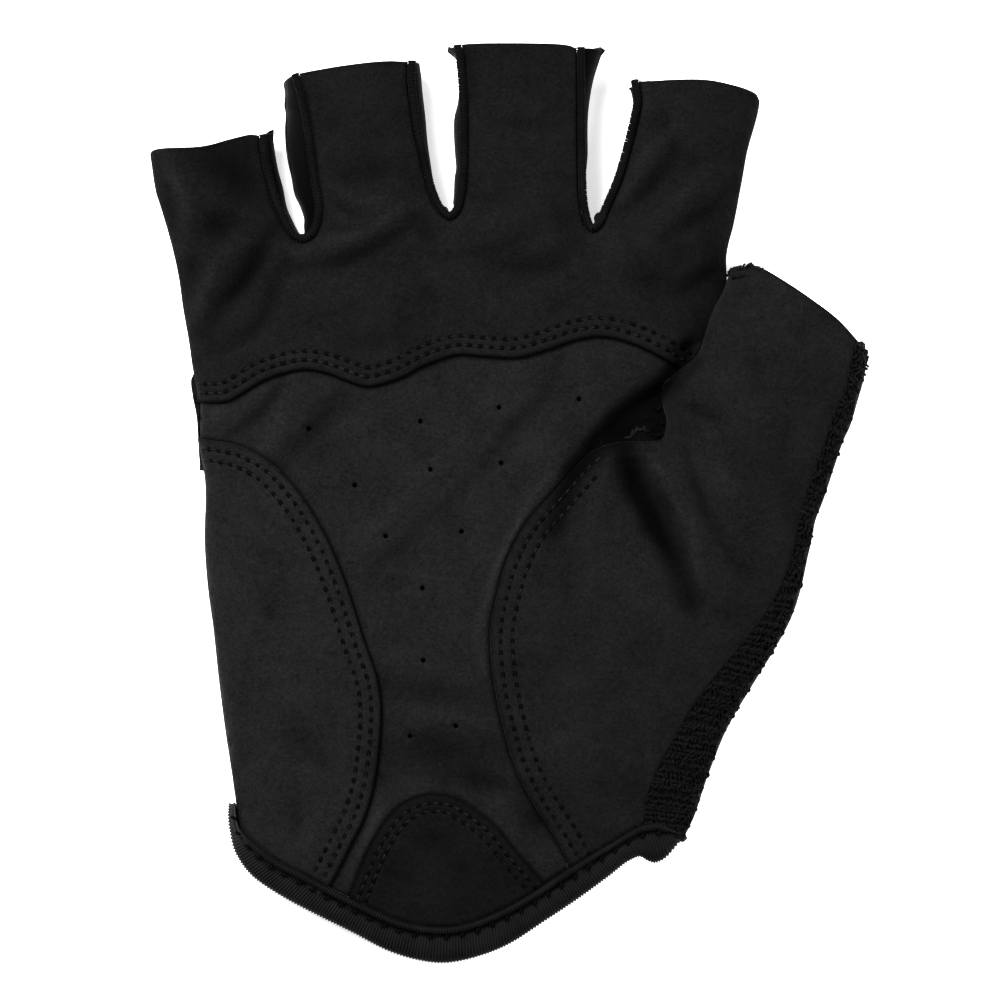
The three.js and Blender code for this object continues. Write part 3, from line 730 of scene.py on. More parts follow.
def foldsAt(points):  # heights, and tones of painted shade and highlight, for an array of plan points
    heights = np.zeros(len(points))
    tones = np.ones(len(points))
    for halfWidth, strength, *line in folds:
        width = halfWidth * mm
        path = np.array(spline([place(u / 1000, v / 1000) for u, v in zip(line[::2], line[1::2])], 4))
        low = path.min(axis=0) - foldShape["reach"] * width
        high = path.max(axis=0) + foldShape["reach"] * width
        near = np.flatnonzero(np.all((points > low) & (points < high), axis=1))
        spots = points[near]
        away = np.full(len(near), np.inf)
        along = np.zeros(len(near))
        for i, (start, end) in enumerate(zip(path, path[1:])):
            step = end - start
            t = np.clip((spots - start) @ step / (step @ step), 0, 1)
            distance = np.linalg.norm(spots - start - t[:, None] * step, axis=1)
            closer = distance < away
            away = np.where(closer, distance, away)
            along = np.where(closer, (i + t) / (len(path) - 1), along)
        share = np.exp(-(away / width) ** 2)
        share *= np.sin(np.pi * np.clip(along, foldShape["blunt"], 1 - foldShape["blunt"])) ** foldShape["taper"]
        heights[near] += foldShape["depth"] * strength * width * share
        tones[near] *= 1 + foldShape["napAndPaintedShade"] * strength * share
    return heights, np.maximum(tones, foldShape["darkest"])


skinCast = {"start": 60 * mm, "seamHeight": 5.5 * mm, "thumbFade": 0.03}


def cast(skin, points, fromAbove=True):  # heights of the skin, or of its nearest spot beside it
    made = np.empty(len(points))
    side = 1 if fromAbove else -1
    for i, (x, y) in enumerate(points):
        hit = skin.ray_cast(Vector((x, y, side * skinCast["start"])), Vector((0, 0, -side)))[0]
        if hit is None:
            hit = skin.find_nearest(Vector((x, y, skinCast["seamHeight"])))[0]
        made[i] = hit.z
    return made


def skinHeights(points, fromAbove=True, palmFrom=None):
    made = cast(wholeSkin, points, fromAbove)
    if palmFrom is not None:  # above this share of the length the thumb is left out
        v = (points[:, 1] - cadLow[1]) / boxLength - cuffStart
        share = np.clip((v - palmFrom) / skinCast["thumbFade"], 0, 1)
        made += (cast(palmSkin, points, fromAbove) - made) * share
    if fromAbove:
        made += foldsAt(points)[0] * np.clip((made - foldShape["fadeFrom"]) / foldShape["fadeOver"], 0, 1)
    return made


# Panels

def nearTree(lines):
    points = [point for line in lines for point in line]
    tree = kdtree.KDTree(len(points))
    for i, point in enumerate(points):
        tree.insert((point.x, point.y, 0), i)
    tree.balance()
    return tree


def distances(tree, points):
    return np.array([tree.find((x, y, 0))[2] for x, y in points])


def insideOf(outline, points):
    xs, ys = points[:, 0], points[:, 1]
    inside = np.zeros(len(points), bool)
    for a, b in zip(outline, outline[1:] + outline[:1]):
        if a.y == b.y:
            continue
        crosses = (a.y > ys) != (b.y > ys)
        inside ^= crosses & (xs < (b.x - a.x) * (ys - a.y) / (b.y - a.y) + a.x)
    return inside


planMesh = {
    "coarse": 0.84 * mm,
    "fine": 0.42 * mm,
    "seamReach": 5.5 * mm,  # the fine grid goes this far from a seam
    "rings": (0.10, 0.24, 0.5),  # millimetres from the outline to the rows of points along it
    "rowPitch": 0.866,  # height of a triangle with sides of 1
    "holeSides": 14,
}


def panelPlan(outline, seamTree, coarse=planMesh["coarse"], fine=planMesh["fine"],
              seamReach=planMesh["seamReach"], holes=()):
    edgeTree = nearTree([outline])
    rowPitch = fine * planMesh["rowPitch"]
    low = np.min(np.array(outline), axis=0)
    high = np.max(np.array(outline), axis=0)
    grid = []
    columns = int((high[0] - low[0]) / fine) + 1
    rows = int((high[1] - low[1]) / rowPitch) + 1
    stride = max(1, round(coarse / fine))
    for row in range(rows):
        for column in range(columns):
            x = low[0] + (column + 0.5 * (row % 2)) * fine
            grid.append((x, low[1] + row * rowPitch, row % stride == 0 and column % stride == 0))
    grid = np.array(grid)
    grid = grid[insideOf(outline, grid[:, :2])]
    near = distances(seamTree, grid[:, :2]) < seamReach
    grid = grid[near | (grid[:, 2] > 0)]
    grid = grid[distances(edgeTree, grid[:, :2]) > 0.75 * fine, :2]
    rings = []
    for depth in planMesh["rings"]:
        for sign in (1, -1):
            rings += shifted(outline, sign * depth * mm)
    rings = np.array(rings)
    rings = rings[insideOf(outline, rings)]
    rings = rings[distances(edgeTree, rings) > 0.08 * mm]
    grid = grid[distances(edgeTree, grid) > 0.62 * mm]
    verts = [*outline, *[Vector(point) for point in rings], *[Vector(point) for point in grid]]
    edges = []
    sides = planMesh["holeSides"]
    for centre, radius in holes:
        start = len(verts)
        for i in range(sides):
            angle = 2 * math.pi * i / sides
            verts.append(centre + Vector((math.cos(angle), math.sin(angle))) * radius)
            edges.append((start + i, start + (i + 1) % sides))
    border = [list(range(len(outline)))]
    verts, _, faces, *_ = geometry.delaunay_2d_cdt(verts, edges, border, 1, 1e-7)
    plan = np.array([tuple(vert) for vert in verts])
    kept = []
    for face in faces:
        middle = plan[list(face)].mean(axis=0)
        if all(np.linalg.norm(middle - np.array(centre)) > radius * 0.97 for centre, radius in holes):
            kept.append(tuple(face))
    used = sorted({i for face in kept for i in face})
    renumber = {old: new for new, old in enumerate(used)}
    return plan[used], [tuple(renumber[i] for i in face) for face in kept]


def relaxed(heights, faces, loose, rounds=12):  # evens out the heights of the loose points
    edges = np.array(sorted({tuple(sorted(pair)) for face in faces for pair in zip(face, face[1:] + face[:1])}))
    counts = np.bincount(edges.ravel(), minlength=len(heights))
    for _ in range(rounds):
        sums = np.bincount(edges[:, 0], heights[edges[:, 1]], len(heights))
        sums += np.bincount(edges[:, 1], heights[edges[:, 0]], len(heights))
        heights = np.where(loose, 0.5 * heights + 0.5 * sums / counts, heights)
    return heights


def roundedEdge(edgeDistance, radius):  # how far a cut edge of this radius drops
    inside = np.clip(1 - edgeDistance / radius, 0, 1)
    return radius * (1 - np.sqrt(1 - inside ** 2 * 0.98))


def addMesh(name, verts, faces, material, tones=None, smooth=True):  # tones are the painted shade and highlight of each point
    mesh = bpy.data.meshes.new(name)
    mesh.from_pydata([tuple(vert) for vert in verts], [], faces)
    mesh.materials.append(materials[material])
    if smooth:
        mesh.polygons.foreach_set("use_smooth", [True] * len(mesh.polygons))
    mesh.update()
    if tones is not None:
        napAndPaintedShade = mesh.attributes.new("napAndPaintedShade", "FLOAT", "POINT")
        napAndPaintedShade.data.foreach_set("value", np.asarray(tones, np.float32))
    made = bpy.data.objects.new(name, mesh)
    bpy.context.collection.objects.link(made)
    return made


def addSheet(name, plan, heights, faces, material, tones):
    return addMesh(name, raised(plan, heights), faces, material, tones)


def facedUp(made, face=0):  # turns an open mesh so that this face looks up
    if made.data.polygons[face].normal.z < 0:
        made.data.flip_normals()
    return made


def applied(made):  # the object with its modifiers turned into plain mesh
    graph = bpy.context.evaluated_depsgraph_get()
    mesh = bpy.data.meshes.new_from_object(made.evaluated_get(graph))
    made.modifiers.clear()
    made.data = mesh
    return made


thinShare = 0.05  # of a wall's thickness, left at its thin points


def thicken(made, thickness, thin=()):
    full = made.vertex_groups.new(name="full")
    full.add([i for i in range(len(made.data.vertices)) if i not in thin], 1.0, "REPLACE")
    solidify = made.modifiers.new("wall", "SOLIDIFY")
    solidify.vertex_group = "full"
    solidify.thickness_vertex_group = thinShare
    solidify.thickness = thickness
    solidify.offset = -1
    solidify.use_rim = True
    return applied(made)


def finishPiece(made, nodes):
    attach(made, "root")
    if nodes:
        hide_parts(*nodes)


suedePanel = {
    "thickness": 0.9 * mm,
    "underLayer": 0.60 * mm,  # how far the centre panel lies below its neighbours
    "edgeRadius": 0.42 * mm,
    "channelDepth": 0.20 * mm,
    "channelWidth": 0.42 * mm,
    "bandRise": 0.30 * mm,
    "bandReach": 6 * mm,
    "edgeShade": 0.36 * mm,
    "edgeDark": 0.52,
    "tapeShade": 0.45 * mm,
    "tapeDark": 0.8,
}
lineStep = 0.25 * mm
stitchRows = {  # distance of each row from its edge, to the left for a positive distance
    "wave": (waveEdge, (1.67, 3.35), 1),
    "heel": (heelEdge, (1.67, 3.70), -1),
    "thenar": (thenarEdge, (1.85, 4.05), 1),
    "patch": (patchArch, (1.50, 3.00), -1),
}
seamLines = {name: traced(line, lineStep) for name, (line, _, _) in stitchRows.items()}
rowLines = {
    name: [evenly(shifted(seamLines[name], side * away * mm), lineStep) for away in rowDistances]
    for name, (_, rowDistances, side) in stitchRows.items()
}
rowTree = nearTree([line for lines in rowLines.values() for line in lines])
seamTree = nearTree(list(seamLines.values()))
mouths = (littleMouth, ringMouth, middleMouth, indexMouth, thumbMouth)
outlineTree = nearTree([traced(line, 0.4 * mm) for line in
                        (leftSide, indexSide, thumbSide, *gapSeams.values(), *mouths)])
sideTree = nearTree([traced(line, 0.2 * mm) for line in (leftSide, indexSide, thumbSide)])
upperEdges = []  # points of the upper pieces along the glove's sides, for the lower pieces to meet


def noteEdges(plan, heights):
    near = distances(sideTree, plan) < 0.3 * mm
    upperEdges.extend(Vector(spot) for spot in np.column_stack([plan, heights])[near])


def suedeHeights(points, cutEdges, faces=None, palmFrom=None):
    heights = skinHeights(points, True, palmFrom)
    if faces is not None:
        heights = relaxed(heights, faces, distances(outlineTree, points) < 1.6 * mm)
    fromSeam = distances(seamTree, points)
    heights -= suedePanel["channelDepth"] * np.exp(-(distances(rowTree, points) / suedePanel["channelWidth"]) ** 2)
    band = np.clip(1 - fromSeam / suedePanel["bandReach"], 0, 1)
    heights += suedePanel["bandRise"] * band * band * (3 - 2 * band)
    heights -= roundedEdge(distances(cutEdges, points), suedePanel["edgeRadius"])
    return heights


hemTree = nearTree([traced([row[2:] for row in hemEdges], 0.3 * mm)])
hemMiddle = [((a + c) / 2, (b + d) / 2) for a, b, c, d in hemEdges]


def shadeNear(tree, plan, dark, reach):  # painted shade that darkens towards a line
    return 1 - dark * np.exp(-(distances(tree, plan) / reach) ** 2)


# painted shade of a suede panel: the folds' shade and highlight, darker along its cut edges and beside the cuff
# tape
def suedeTones(plan, edgeTree, edgeDark, edgeShade):
    tones = foldsAt(plan)[1] * shadeNear(edgeTree, plan, edgeDark, edgeShade)
    return tones * shadeNear(hemTree, plan, suedePanel["tapeDark"], suedePanel["tapeShade"])


def addSuedePanel(name, node, outline, cuts, material, palmFrom=None):
    cutTree = nearTree([traced(line, 0.3 * mm) for line in cuts])
    plan, faces = panelPlan(outline, seamTree)
    heights = suedeHeights(plan, cutTree, faces, palmFrom)
    noteEdges(plan, heights)
    tones = suedeTones(plan, cutTree, suedePanel["edgeDark"], suedePanel["edgeShade"])
    made = thicken(addSheet(name, plan, heights, faces, material, tones), suedePanel["thickness"])
    finishPiece(made, [node])
    print(name, "done,", len(made.data.polygons), "faces")
    return outline


def hemBetween(start, end):  # the stretch of the hem's middle between two values of u
    return [pair for pair in hemMiddle if start < pair[0] < end]


def joined(*lines):
    outline = []
    for line in lines:
        for point in line:
            if not outline or (point - outline[-1]).length > 0.15 * mm:
                outline.append(point)
    while (outline[0] - outline[-1]).length < 0.15 * mm:
        outline.pop()
    return outline


def addFingerPanel():
    side = [waveEdge[0], *[pair for pair in leftSide if pair[1] > 0.613]]
    rim = [side, littleMouth, gapSeams["little_ring"], ringMouth, gapSeams["ring_middle"], middleMouth,
           gapSeams["middle_index"], indexMouth, indexSide]
    outline = joined(*[traced(line) for line in rim], tracedBack(waveEdge))
    cuts = [waveEdge, *gapSeams.values(), littleMouth, ringMouth, middleMouth, indexMouth]
    return addSuedePanel("fingerPanel", "finger_panel", outline, cuts, "fingerSuede", 0.0)


def addOuterHeelPanel():
    side = [pair for pair in leftSide if pair[1] < 0.569]
    hem = hemBetween(0.0, 0.225)
    outline = joined(traced(heelEdge), tracedBack([*hem, heelEdge[-1]]), traced([hem[0], *side, heelEdge[0]]))
    return addSuedePanel("outerHeelPanel", "outer_heel_panel", outline, [heelEdge], "heelSuede")


def addThumbPanel():
    hem = hemBetween(0.605, 0.69)
    outline = joined(tracedBack([*thenarEdge, hem[0]]), traced(thumbLeft), traced(thumbMouth), traced(terrySeam),
                     tracedBack(hem))
    return addSuedePanel("thumbPanel", "thumb_panel", outline, [thenarEdge, thumbMouth, terrySeam], "thumbSuede")


def addHeelPatch():
    outline = joined(traced(patchArch), tracedBack(hemBetween(0.268, 0.565)))
    return addSuedePanel("heelPatch", "heel_patch", outline, [patchArch], "patchSuede")


centrePanel = {
    "thickness": 0.8 * mm, "holeRadius": 0.44 * mm, "holeDip": 0.22 * mm, "dipReach": 0.45 * mm,
    "edgeDark": 0.75, "edgeShade": 1.6 * suedePanel["edgeShade"], "detailReach": 2.6 * mm,
}
palmTop = 0.535  # above this share of the length the centre follows the palm and not the thumb
centreOutline = shares([
    (70, 535), (66, 590), (60, 640), (120, 648), (200, 676), (300, 662), (420, 692), (520, 690), (620, 712),
    (700, 695), (762, 660), (748, 636), (735, 610), (732, 585), (705, 552), (650, 535), (600, 490),
    (560, 440), (530, 390), (525, 330), (535, 270), (560, 215), (590, 165), (625, 115),
])
centreReturn = shares([
    (215, 95), (235, 140), (262, 190), (272, 250), (268, 300), (250, 350), (228, 400), (205, 440),
    (175, 480), (140, 510), (100, 530), (72, 535),
])


def addCentrePanel():
    hem = list(reversed(hemBetween(0.22, 0.62)))
    outline = joined(traced(centreOutline), traced(hem), traced(centreReturn))
    outline.reverse()
    centres = [place(*pair) for pair in ventHoles]
    radius = centrePanel["holeRadius"]
    detail = nearTree([*seamLines.values(), centres])
    plan, faces = panelPlan(outline, detail, seamReach=centrePanel["detailReach"],
                            holes=[(centre, radius) for centre in centres])
    fromHole = np.maximum(distances(nearTree([centres]), plan) - radius, 0)
    heights = skinHeights(plan, True, palmTop) - suedePanel["underLayer"]
    heights -= centrePanel["holeDip"] * np.exp(-(fromHole / centrePanel["dipReach"]) ** 2)
    noteEdges(plan, heights)
    tones = suedeTones(plan, seamTree, centrePanel["edgeDark"], centrePanel["edgeShade"])
    made = thicken(addSheet("centrePanel", plan, heights, faces, "centreSuede", tones), centrePanel["thickness"])
    finishPiece(made, ["centre_panel"])
    print("centre_panel done,", len(made.data.polygons), "faces")


panelOutlines = {
    "wave": addFingerPanel(), "heel": addOuterHeelPanel(), "thenar": addThumbPanel(), "patch": addHeelPatch(),
}
addCentrePanel()


# What repeats along a line: a Geometry Nodes tree puts one small mesh at every step of a line

def repeater():
    tree = bpy.data.node_groups.new("repeatAlong", "GeometryNodeTree")
    wanted = [
        ("Line", "NodeSocketGeometry"), ("Item", "NodeSocketObject"), ("Pitch", "NodeSocketFloat"),
        ("Turn", "NodeSocketFloat"), ("Uneven", "NodeSocketFloat"), ("Seed", "NodeSocketInt"),
        ("Material", "NodeSocketMaterial"),
    ]
    sockets = {}
    for label, kind in wanted:
        sockets[label] = tree.interface.new_socket(label, in_out="INPUT", socket_type=kind).identifier
    tree.interface.new_socket("Geometry", in_out="OUTPUT", socket_type="NodeSocketGeometry")

    def add(kind, settings=None, links=None, values=None):
        made = tree.nodes.new(kind)
        for key, value in (settings or {}).items():
            setattr(made, key, value)
        for key, socket in (links or {}).items():
            tree.links.new(socket, made.inputs[key])
        for key, value in (values or {}).items():
            made.inputs[key].default_value = value
        return made

    given = add("NodeGroupInput").outputs
    curve = add("GeometryNodeMeshToCurve", None, {"Mesh": given["Line"]}).outputs[0]
    steps = add("GeometryNodeResampleCurve", {"mode": "LENGTH"}, {"Curve": curve, "Length": given["Pitch"]})
    tangent = add("GeometryNodeInputTangent").outputs[0]
    along = add("FunctionNodeAlignRotationToVector", {"axis": "X"}, {"Vector": tangent})
    settings = {"axis": "Z", "pivot_axis": "X"}
    upright = add("FunctionNodeAlignRotationToVector", settings, {"Rotation": along.outputs[0]},
                  {"Vector": (0, 0, 1)})

    def randomBetween(low, high):
        links = {2: low, 3: high, "Seed": given["Seed"]}
        return add("FunctionNodeRandomValue", {"data_type": "FLOAT"}, links).outputs[1]

    minus = add("ShaderNodeMath", {"operation": "MULTIPLY"}, {0: given["Turn"]}, {1: -1.0}).outputs[0]
    angles = add("ShaderNodeCombineXYZ", None, {"Z": randomBetween(minus, given["Turn"])})
    turned = add("FunctionNodeRotateRotation", {"rotation_space": "LOCAL"},
                 {0: upright.outputs[0], 1: angles.outputs[0]})
    low = add("ShaderNodeMath", {"operation": "SUBTRACT"}, {1: given["Uneven"]}, {0: 1.0}).outputs[0]
    high = add("ShaderNodeMath", {"operation": "ADD"}, {1: given["Uneven"]}, {0: 1.0}).outputs[0]
    item = add("GeometryNodeObjectInfo", None, {"Object": given["Item"]})
    placed = add("GeometryNodeInstanceOnPoints", None, {
        "Points": steps.outputs[0], "Instance": item.outputs["Geometry"], "Rotation": turned.outputs[0],
        "Scale": randomBetween(low, high),
    })
    real = add("GeometryNodeRealizeInstances", None, {"Geometry": placed.outputs[0]})
    dressed = add("GeometryNodeSetMaterial", None, {"Geometry": real.outputs[0], "Material": given["Material"]})
    add("NodeGroupOutput", None, {0: dressed.outputs[0]})
    return tree, sockets


repeatTree, repeatSockets = repeater()


def lineMesh(name, lines):  # several open lines of 3-D points as one mesh of edges
    verts = []
    edges = []
    for line in lines:
        start = len(verts)
        verts += [tuple(point) for point in line]
        edges += [(i, i + 1) for i in range(start, len(verts) - 1)]
    mesh = bpy.data.meshes.new(name)
    mesh.from_pydata(verts, edges, [])
    made = bpy.data.objects.new(name, mesh)
    bpy.context.collection.objects.link(made)
    return made


def repeated(name, lines, item, pitch, material, turn=0.0, uneven=0.0, seed=1):
    made = lineMesh(name, lines)
    repeat = made.modifiers.new("repeat", "NODES")
    repeat.node_group = repeatTree
    choices = {"Item": item, "Pitch": pitch, "Turn": turn, "Uneven": uneven, "Seed": seed,
               "Material": materials[material]}
    for label, value in choices.items():
        repeat[repeatSockets[label]] = value
    applied(made)
    made.data.polygons.foreach_set("use_smooth", [True] * len(made.data.polygons))
    return made


def tube(name, path, radii, sides=6, squash=1.0):  # a short closed tube along a bent path
    verts = []
    path = [Vector(point) for point in path]
    for i, (point, radius) in enumerate(zip(path, radii)):
        along = (path[min(i + 1, len(path) - 1)] - path[max(i - 1, 0)]).normalized()
        side = along.cross(Vector((0, 0, 1))).normalized()
        up = side.cross(along)
        for k in range(sides):
            angle = 2 * math.pi * k / sides
            spot = point + side * (math.cos(angle) * radius) + up * (math.sin(angle) * radius * squash)
            verts.append(tuple(spot))
    mesh = bpy.data.meshes.new(name)
    mesh.from_pydata(verts, [], tubeFaces(len(path), sides))
    return facedOut(bpy.data.objects.new(name, mesh))


def facedOut(made):  # turns a closed mesh's faces outwards
    mesh = made.data
    volume = 0.0
    for face in mesh.polygons:
        corner = mesh.vertices[face.vertices[0]].co
        volume += corner.dot(face.normal) * face.area
    if volume < 0:
        mesh.flip_normals()
    return made


def merged(name, objects):
    with bpy.context.temp_override(active_object=objects[0], selected_editable_objects=objects):
        bpy.ops.object.join()
    objects[0].name = name
    return objects[0]


# Seams

seamThread = {
    "pitch": 2.0 * mm, "length": 1.25 * mm, "radius": 0.13 * mm, "lift": 0.06 * mm,
    "holeLength": 0.52 * mm, "holeWidth": 0.42 * mm, "holeLift": 0.05 * mm, "fromBorder": 0.8 * mm,
}
half = seamThread["length"] / 2
stitchRise = ((1, -0.28), (0.8, -0.02), (0.3, 0.09))  # share of the half length, height in millimetres
stitchPath = [(-half * share, 0, z * mm) for share, z in stitchRise]
stitchPath += [(-x, 0, z) for x, _, z in reversed(stitchPath)]
stitchItem = tube("stitchItem", stitchPath, [seamThread["radius"]] * 6)
# dark discs between the stitches: painted shadow in the needle holes
holePath = [(seamThread["holeLength"] * share, 0, 0) for share in (-1, -0.5, 0.5, 1)]
holeRadii = [seamThread["holeWidth"] * share for share in (0.5, 1, 1, 0.5)]
holeItem = tube("holeItem", holePath, holeRadii, 6, 0.6)


def addSeam(name, rows, edgeLine, outline, palmFrom, endU):
    cutTree = nearTree([edgeLine])
    borderTree = nearTree([outline])
    threads = []
    gaps = []
    offset = round(seamThread["pitch"] / 2 / lineStep)
    for row in rows:
        spots = planArray(row)
        kept = insideOf(outline, spots) & (distances(borderTree, spots) > seamThread["fromBorder"])
        spots = spots[kept & (spots[:, 0] < place(endU, 0).x)]
        heights = suedeHeights(spots, cutTree, None, palmFrom)
        threads.append(raised(spots, heights + seamThread["lift"]))
        gaps.append(raised(spots[offset:], heights[offset:] + seamThread["holeLift"]))
    stitches = repeated(name, threads, stitchItem, seamThread["pitch"], "thread", 0.05, 0.06, 3)
    holes = repeated(name + "Holes", gaps, holeItem, seamThread["pitch"], "darkStitchAndHoleShadow", 0.08, 0.15, 4)
    made = merged(name, [stitches, holes])
    finishPiece(made, [])
    print(name, "done,", len(made.data.polygons), "faces")


for rowName in rowLines:
    addSeam(rowName + "Seam", rowLines[rowName], seamLines[rowName], panelOutlines[rowName],
            0.0 if rowName == "wave" else None, 0.625 if rowName == "thenar" else 1.0)


# Cords beside the finger gaps, with the finger sides below them

gapPieces = {
    "cordRadius": 0.76 * mm, "cordOffset": 0.78 * mm, "cordDrop": 0.40 * mm, "ribPitch": 0.42 * mm,
    "step": 0.3 * mm, "restsAt": 0.9 * mm,  # how far into the panel the cord takes its height from
    "smoothing": 9, "sideSteps": 9, "sideStart": 0.3 * mm, "sideDrop": 0.5 * mm, "sideFoot": 2.6 * mm,
    "sideTurn": 1.12,  # how far the side bends, in quarter turns
    "tuck": 0.25,  # how fast it goes back under past a quarter turn
    "sideThickness": 0.6 * mm,
}
# Painted shade and light of the finger sides, as tones: beside the left cord, at its silhouette, at the right
# silhouette, beside the right cord, then how much darker the gap's foot is.
sideTones = {
    "little_ring": (0.25, 0.25, 1.3, 0.30, 0.75),
    "ring_middle": (0.35, 0.60, 1.5, 0.70, 0.55),
    "middle_index": (0.30, 0.45, 1.1, 0.60, 0.55),
}


def sideTone(gapName, along, across):  # shares from the left mouth and from the cord
    leftNear, leftFar, rightFar, rightNear, foot = sideTones[gapName]
    left = leftNear + (leftFar - leftNear) * across
    right = rightNear + (rightFar - rightNear) * across
    side = min(1, max(0, (along - 0.42) / 0.16))
    footShare = max(0, 1 - abs(along - 0.5) / 0.35)
    return (left + (right - left) * side) * (1 - foot * footShare)


def smoothed(values, kernel):
    kernel = kernel / kernel.sum()
    return np.convolve(np.pad(values, len(kernel) // 2, "edge"), kernel, "valid")


ribPath = [(x * mm, 0, 0) for x in (-0.21, -0.10, 0.10, 0.21)]
cordRib = tube("ribItem", ribPath, [gapPieces["cordRadius"] * share for share in (0.82, 1, 1, 0.82)], 10)


def addCord(name, node, seam, edgeHeights):
    plan = planArray(shifted(seam, gapPieces["cordOffset"]))
    line = raised(plan, edgeHeights - gapPieces["cordDrop"])
    cord = repeated(name, [line], cordRib, gapPieces["ribPitch"], "ribbedCord", 0.12, 0.03, 5)
    finishPiece(cord, [node])


def addFingerSide(name, gapName, seam, edgeHeights):
    outer = traced(gapOutlines[gapName], gapPieces["step"])
    outer = evenly(outer, sum((b - a).length for a, b in zip(outer, outer[1:])) / (len(seam) - 1))
    count = min(len(seam), len(outer))
    steps = gapPieces["sideSteps"]
    foot = gapPieces["sideFoot"]
    verts = []
    tones = []
    for i in range(count):
        start = seam[i] + (outer[i] - seam[i]).normalized() * gapPieces["sideStart"]
        high = edgeHeights[i] - gapPieces["sideDrop"]
        for step in range(steps):
            angle = math.pi / 2 * gapPieces["sideTurn"] * step / (steps - 1)
            across = math.sin(min(angle, math.pi / 2)) - gapPieces["tuck"] * max(0, angle - math.pi / 2)
            lift = max(0, math.cos(angle)) ** 0.8
            spot = start + (outer[i] - start) * across
            verts.append((spot.x, spot.y, foot + (high - foot) * lift))
            tones.append(sideTone(gapName, i / (count - 1), step / (steps - 1)))
    faces = gridFaces(count, steps)
    side = facedUp(addMesh(name, verts, faces, "gussetKnit", tones), len(faces) // 2)
    thicken(side, gapPieces["sideThickness"])
    finishPiece(side, ["fourchette_" + gapName])


for gapName, seamRows in gapSeams.items():
    ending = gapName.title().replace("_", "")
    seam = traced(seamRows, gapPieces["step"])
    edgeHeights = skinHeights(planArray(shifted(seam, -gapPieces["restsAt"])), True, 0.0)
    edgeHeights = smoothed(edgeHeights, np.ones(gapPieces["smoothing"]))
    addCord("piping" + ending, "piping_" + gapName, seam, edgeHeights)
    addFingerSide("fourchette" + ending, gapName, seam, edgeHeights)
print("finger gaps done")


# Cuff tape

cuffTape = {
    "ribPitch": 0.55 * mm, "ribDepth": 0.16 * mm, "samples": 4, "fullWidth": 5.8 * mm,
    "stitchPitch": 2.9 * mm, "stitchAt": 1.95 * mm, "stitchSize": 0.30 * mm, "stitchLift": 0.05 * mm,
    "ribShade": 0.25, "lowest": 0.4 * mm, "smoothing": 41,
}
# The tape's section: millimetres outwards from its inner edge, then upwards. The last number is the share
# of the outer band's width that the point moves with.
tapeSection = [
    (0.05, -1.10, 0), (0.05, -0.10, 0), (0.20, 0.38, 0), (0.45, 0.60, 0), (0.72, 0.66, 0), (1.00, 0.60, 0),
    (1.28, 0.36, 0), (1.45, 0.02, 0), (1.70, -0.16, 0), (1.95, 0.00, 0), (2.20, 0.22, 0), (2.60, 0.36, 0.1),
    (3.30, 0.44, 0.3), (4.00, 0.40, 0.6), (4.60, 0.22, 0.9), (5.10, -0.10, 1), (5.50, -0.60, 1),
    (5.75, -1.30, 1), (5.80, -2.00, 1), (5.50, -2.70, 1), (4.60, -3.00, 0.9), (3.30, -2.80, 0.5),
    (1.80, -2.20, 0.2),
]
# Painted shade of each of these points: dark at the inner edge and in the groove.
tapeTones = [0.2, 0.2, 0.45, 0.8, 0.9, 0.85, 0.55, 0.3, 0.22, 0.35, 0.7, 0.95] + [1.0] * 11


def hemStations(spacing):
    rows = [[*place(row[0], row[1]), *place(row[2], row[3])] for row in hemEdges]
    rows = np.array(spline(rows, 8))
    middle = (rows[:, :2] + rows[:, 2:]) / 2
    marks = np.concatenate([[0], np.cumsum(np.linalg.norm(np.diff(middle, axis=0), axis=1))])
    wanted = np.arange(0, marks[-1], spacing)
    return np.column_stack([np.interp(wanted, marks, rows[:, i]) for i in range(4)])


def tapeFrame(stations):  # inner points, outward directions, widths and base heights
    inner = stations[:, 2:]
    across = stations[:, :2] - inner
    widths = np.linalg.norm(across, axis=1)
    directions = across / widths[:, None]
    base = skinHeights(inner - directions * 1.0 * mm)
    outer = skinHeights(inner + directions * (widths * 0.7)[:, None])
    kernel = np.hanning(cuffTape["smoothing"] + 2)[1:-1]
    base = smoothed(base, kernel)
    return inner, directions, widths, base, (smoothed(outer, kernel) - base) / (widths * 0.7)


def tapeBody():
    samples = cuffTape["samples"]
    inner, directions, widths, base, slopes = tapeFrame(hemStations(cuffTape["ribPitch"] / samples))
    verts = []
    tones = []
    for i, width in enumerate(widths):
        scale = min(1, width / cuffTape["fullWidth"])
        extra = max(0, width - cuffTape["fullWidth"])
        wave = math.sin(2 * math.pi * i / samples)
        rib = cuffTape["ribDepth"] * wave
        for k, (out, up, share) in enumerate(tapeSection):
            distance = out * mm * scale + extra * share
            height = base[i] + slopes[i] * distance + up * mm * min(1, scale * 1.3)
            if 1 < k < 20:
                height += rib * (1.0 if out < 5.2 else 0.4)
                distance += rib * (0.0 if out < 4.4 else 1.0)
            spot = inner[i] + directions[i] * distance
            verts.append((spot[0], spot[1], max(height, cuffTape["lowest"])))
            # painted shade and highlight that alternate along the ribs
            tones.append(tapeTones[k] * (1 + cuffTape["ribShade"] * wave))
    faces = tubeFaces(len(inner), len(tapeSection))
    return facedOut(addMesh("tapeBody", verts, faces, "ribbedTape", tones))


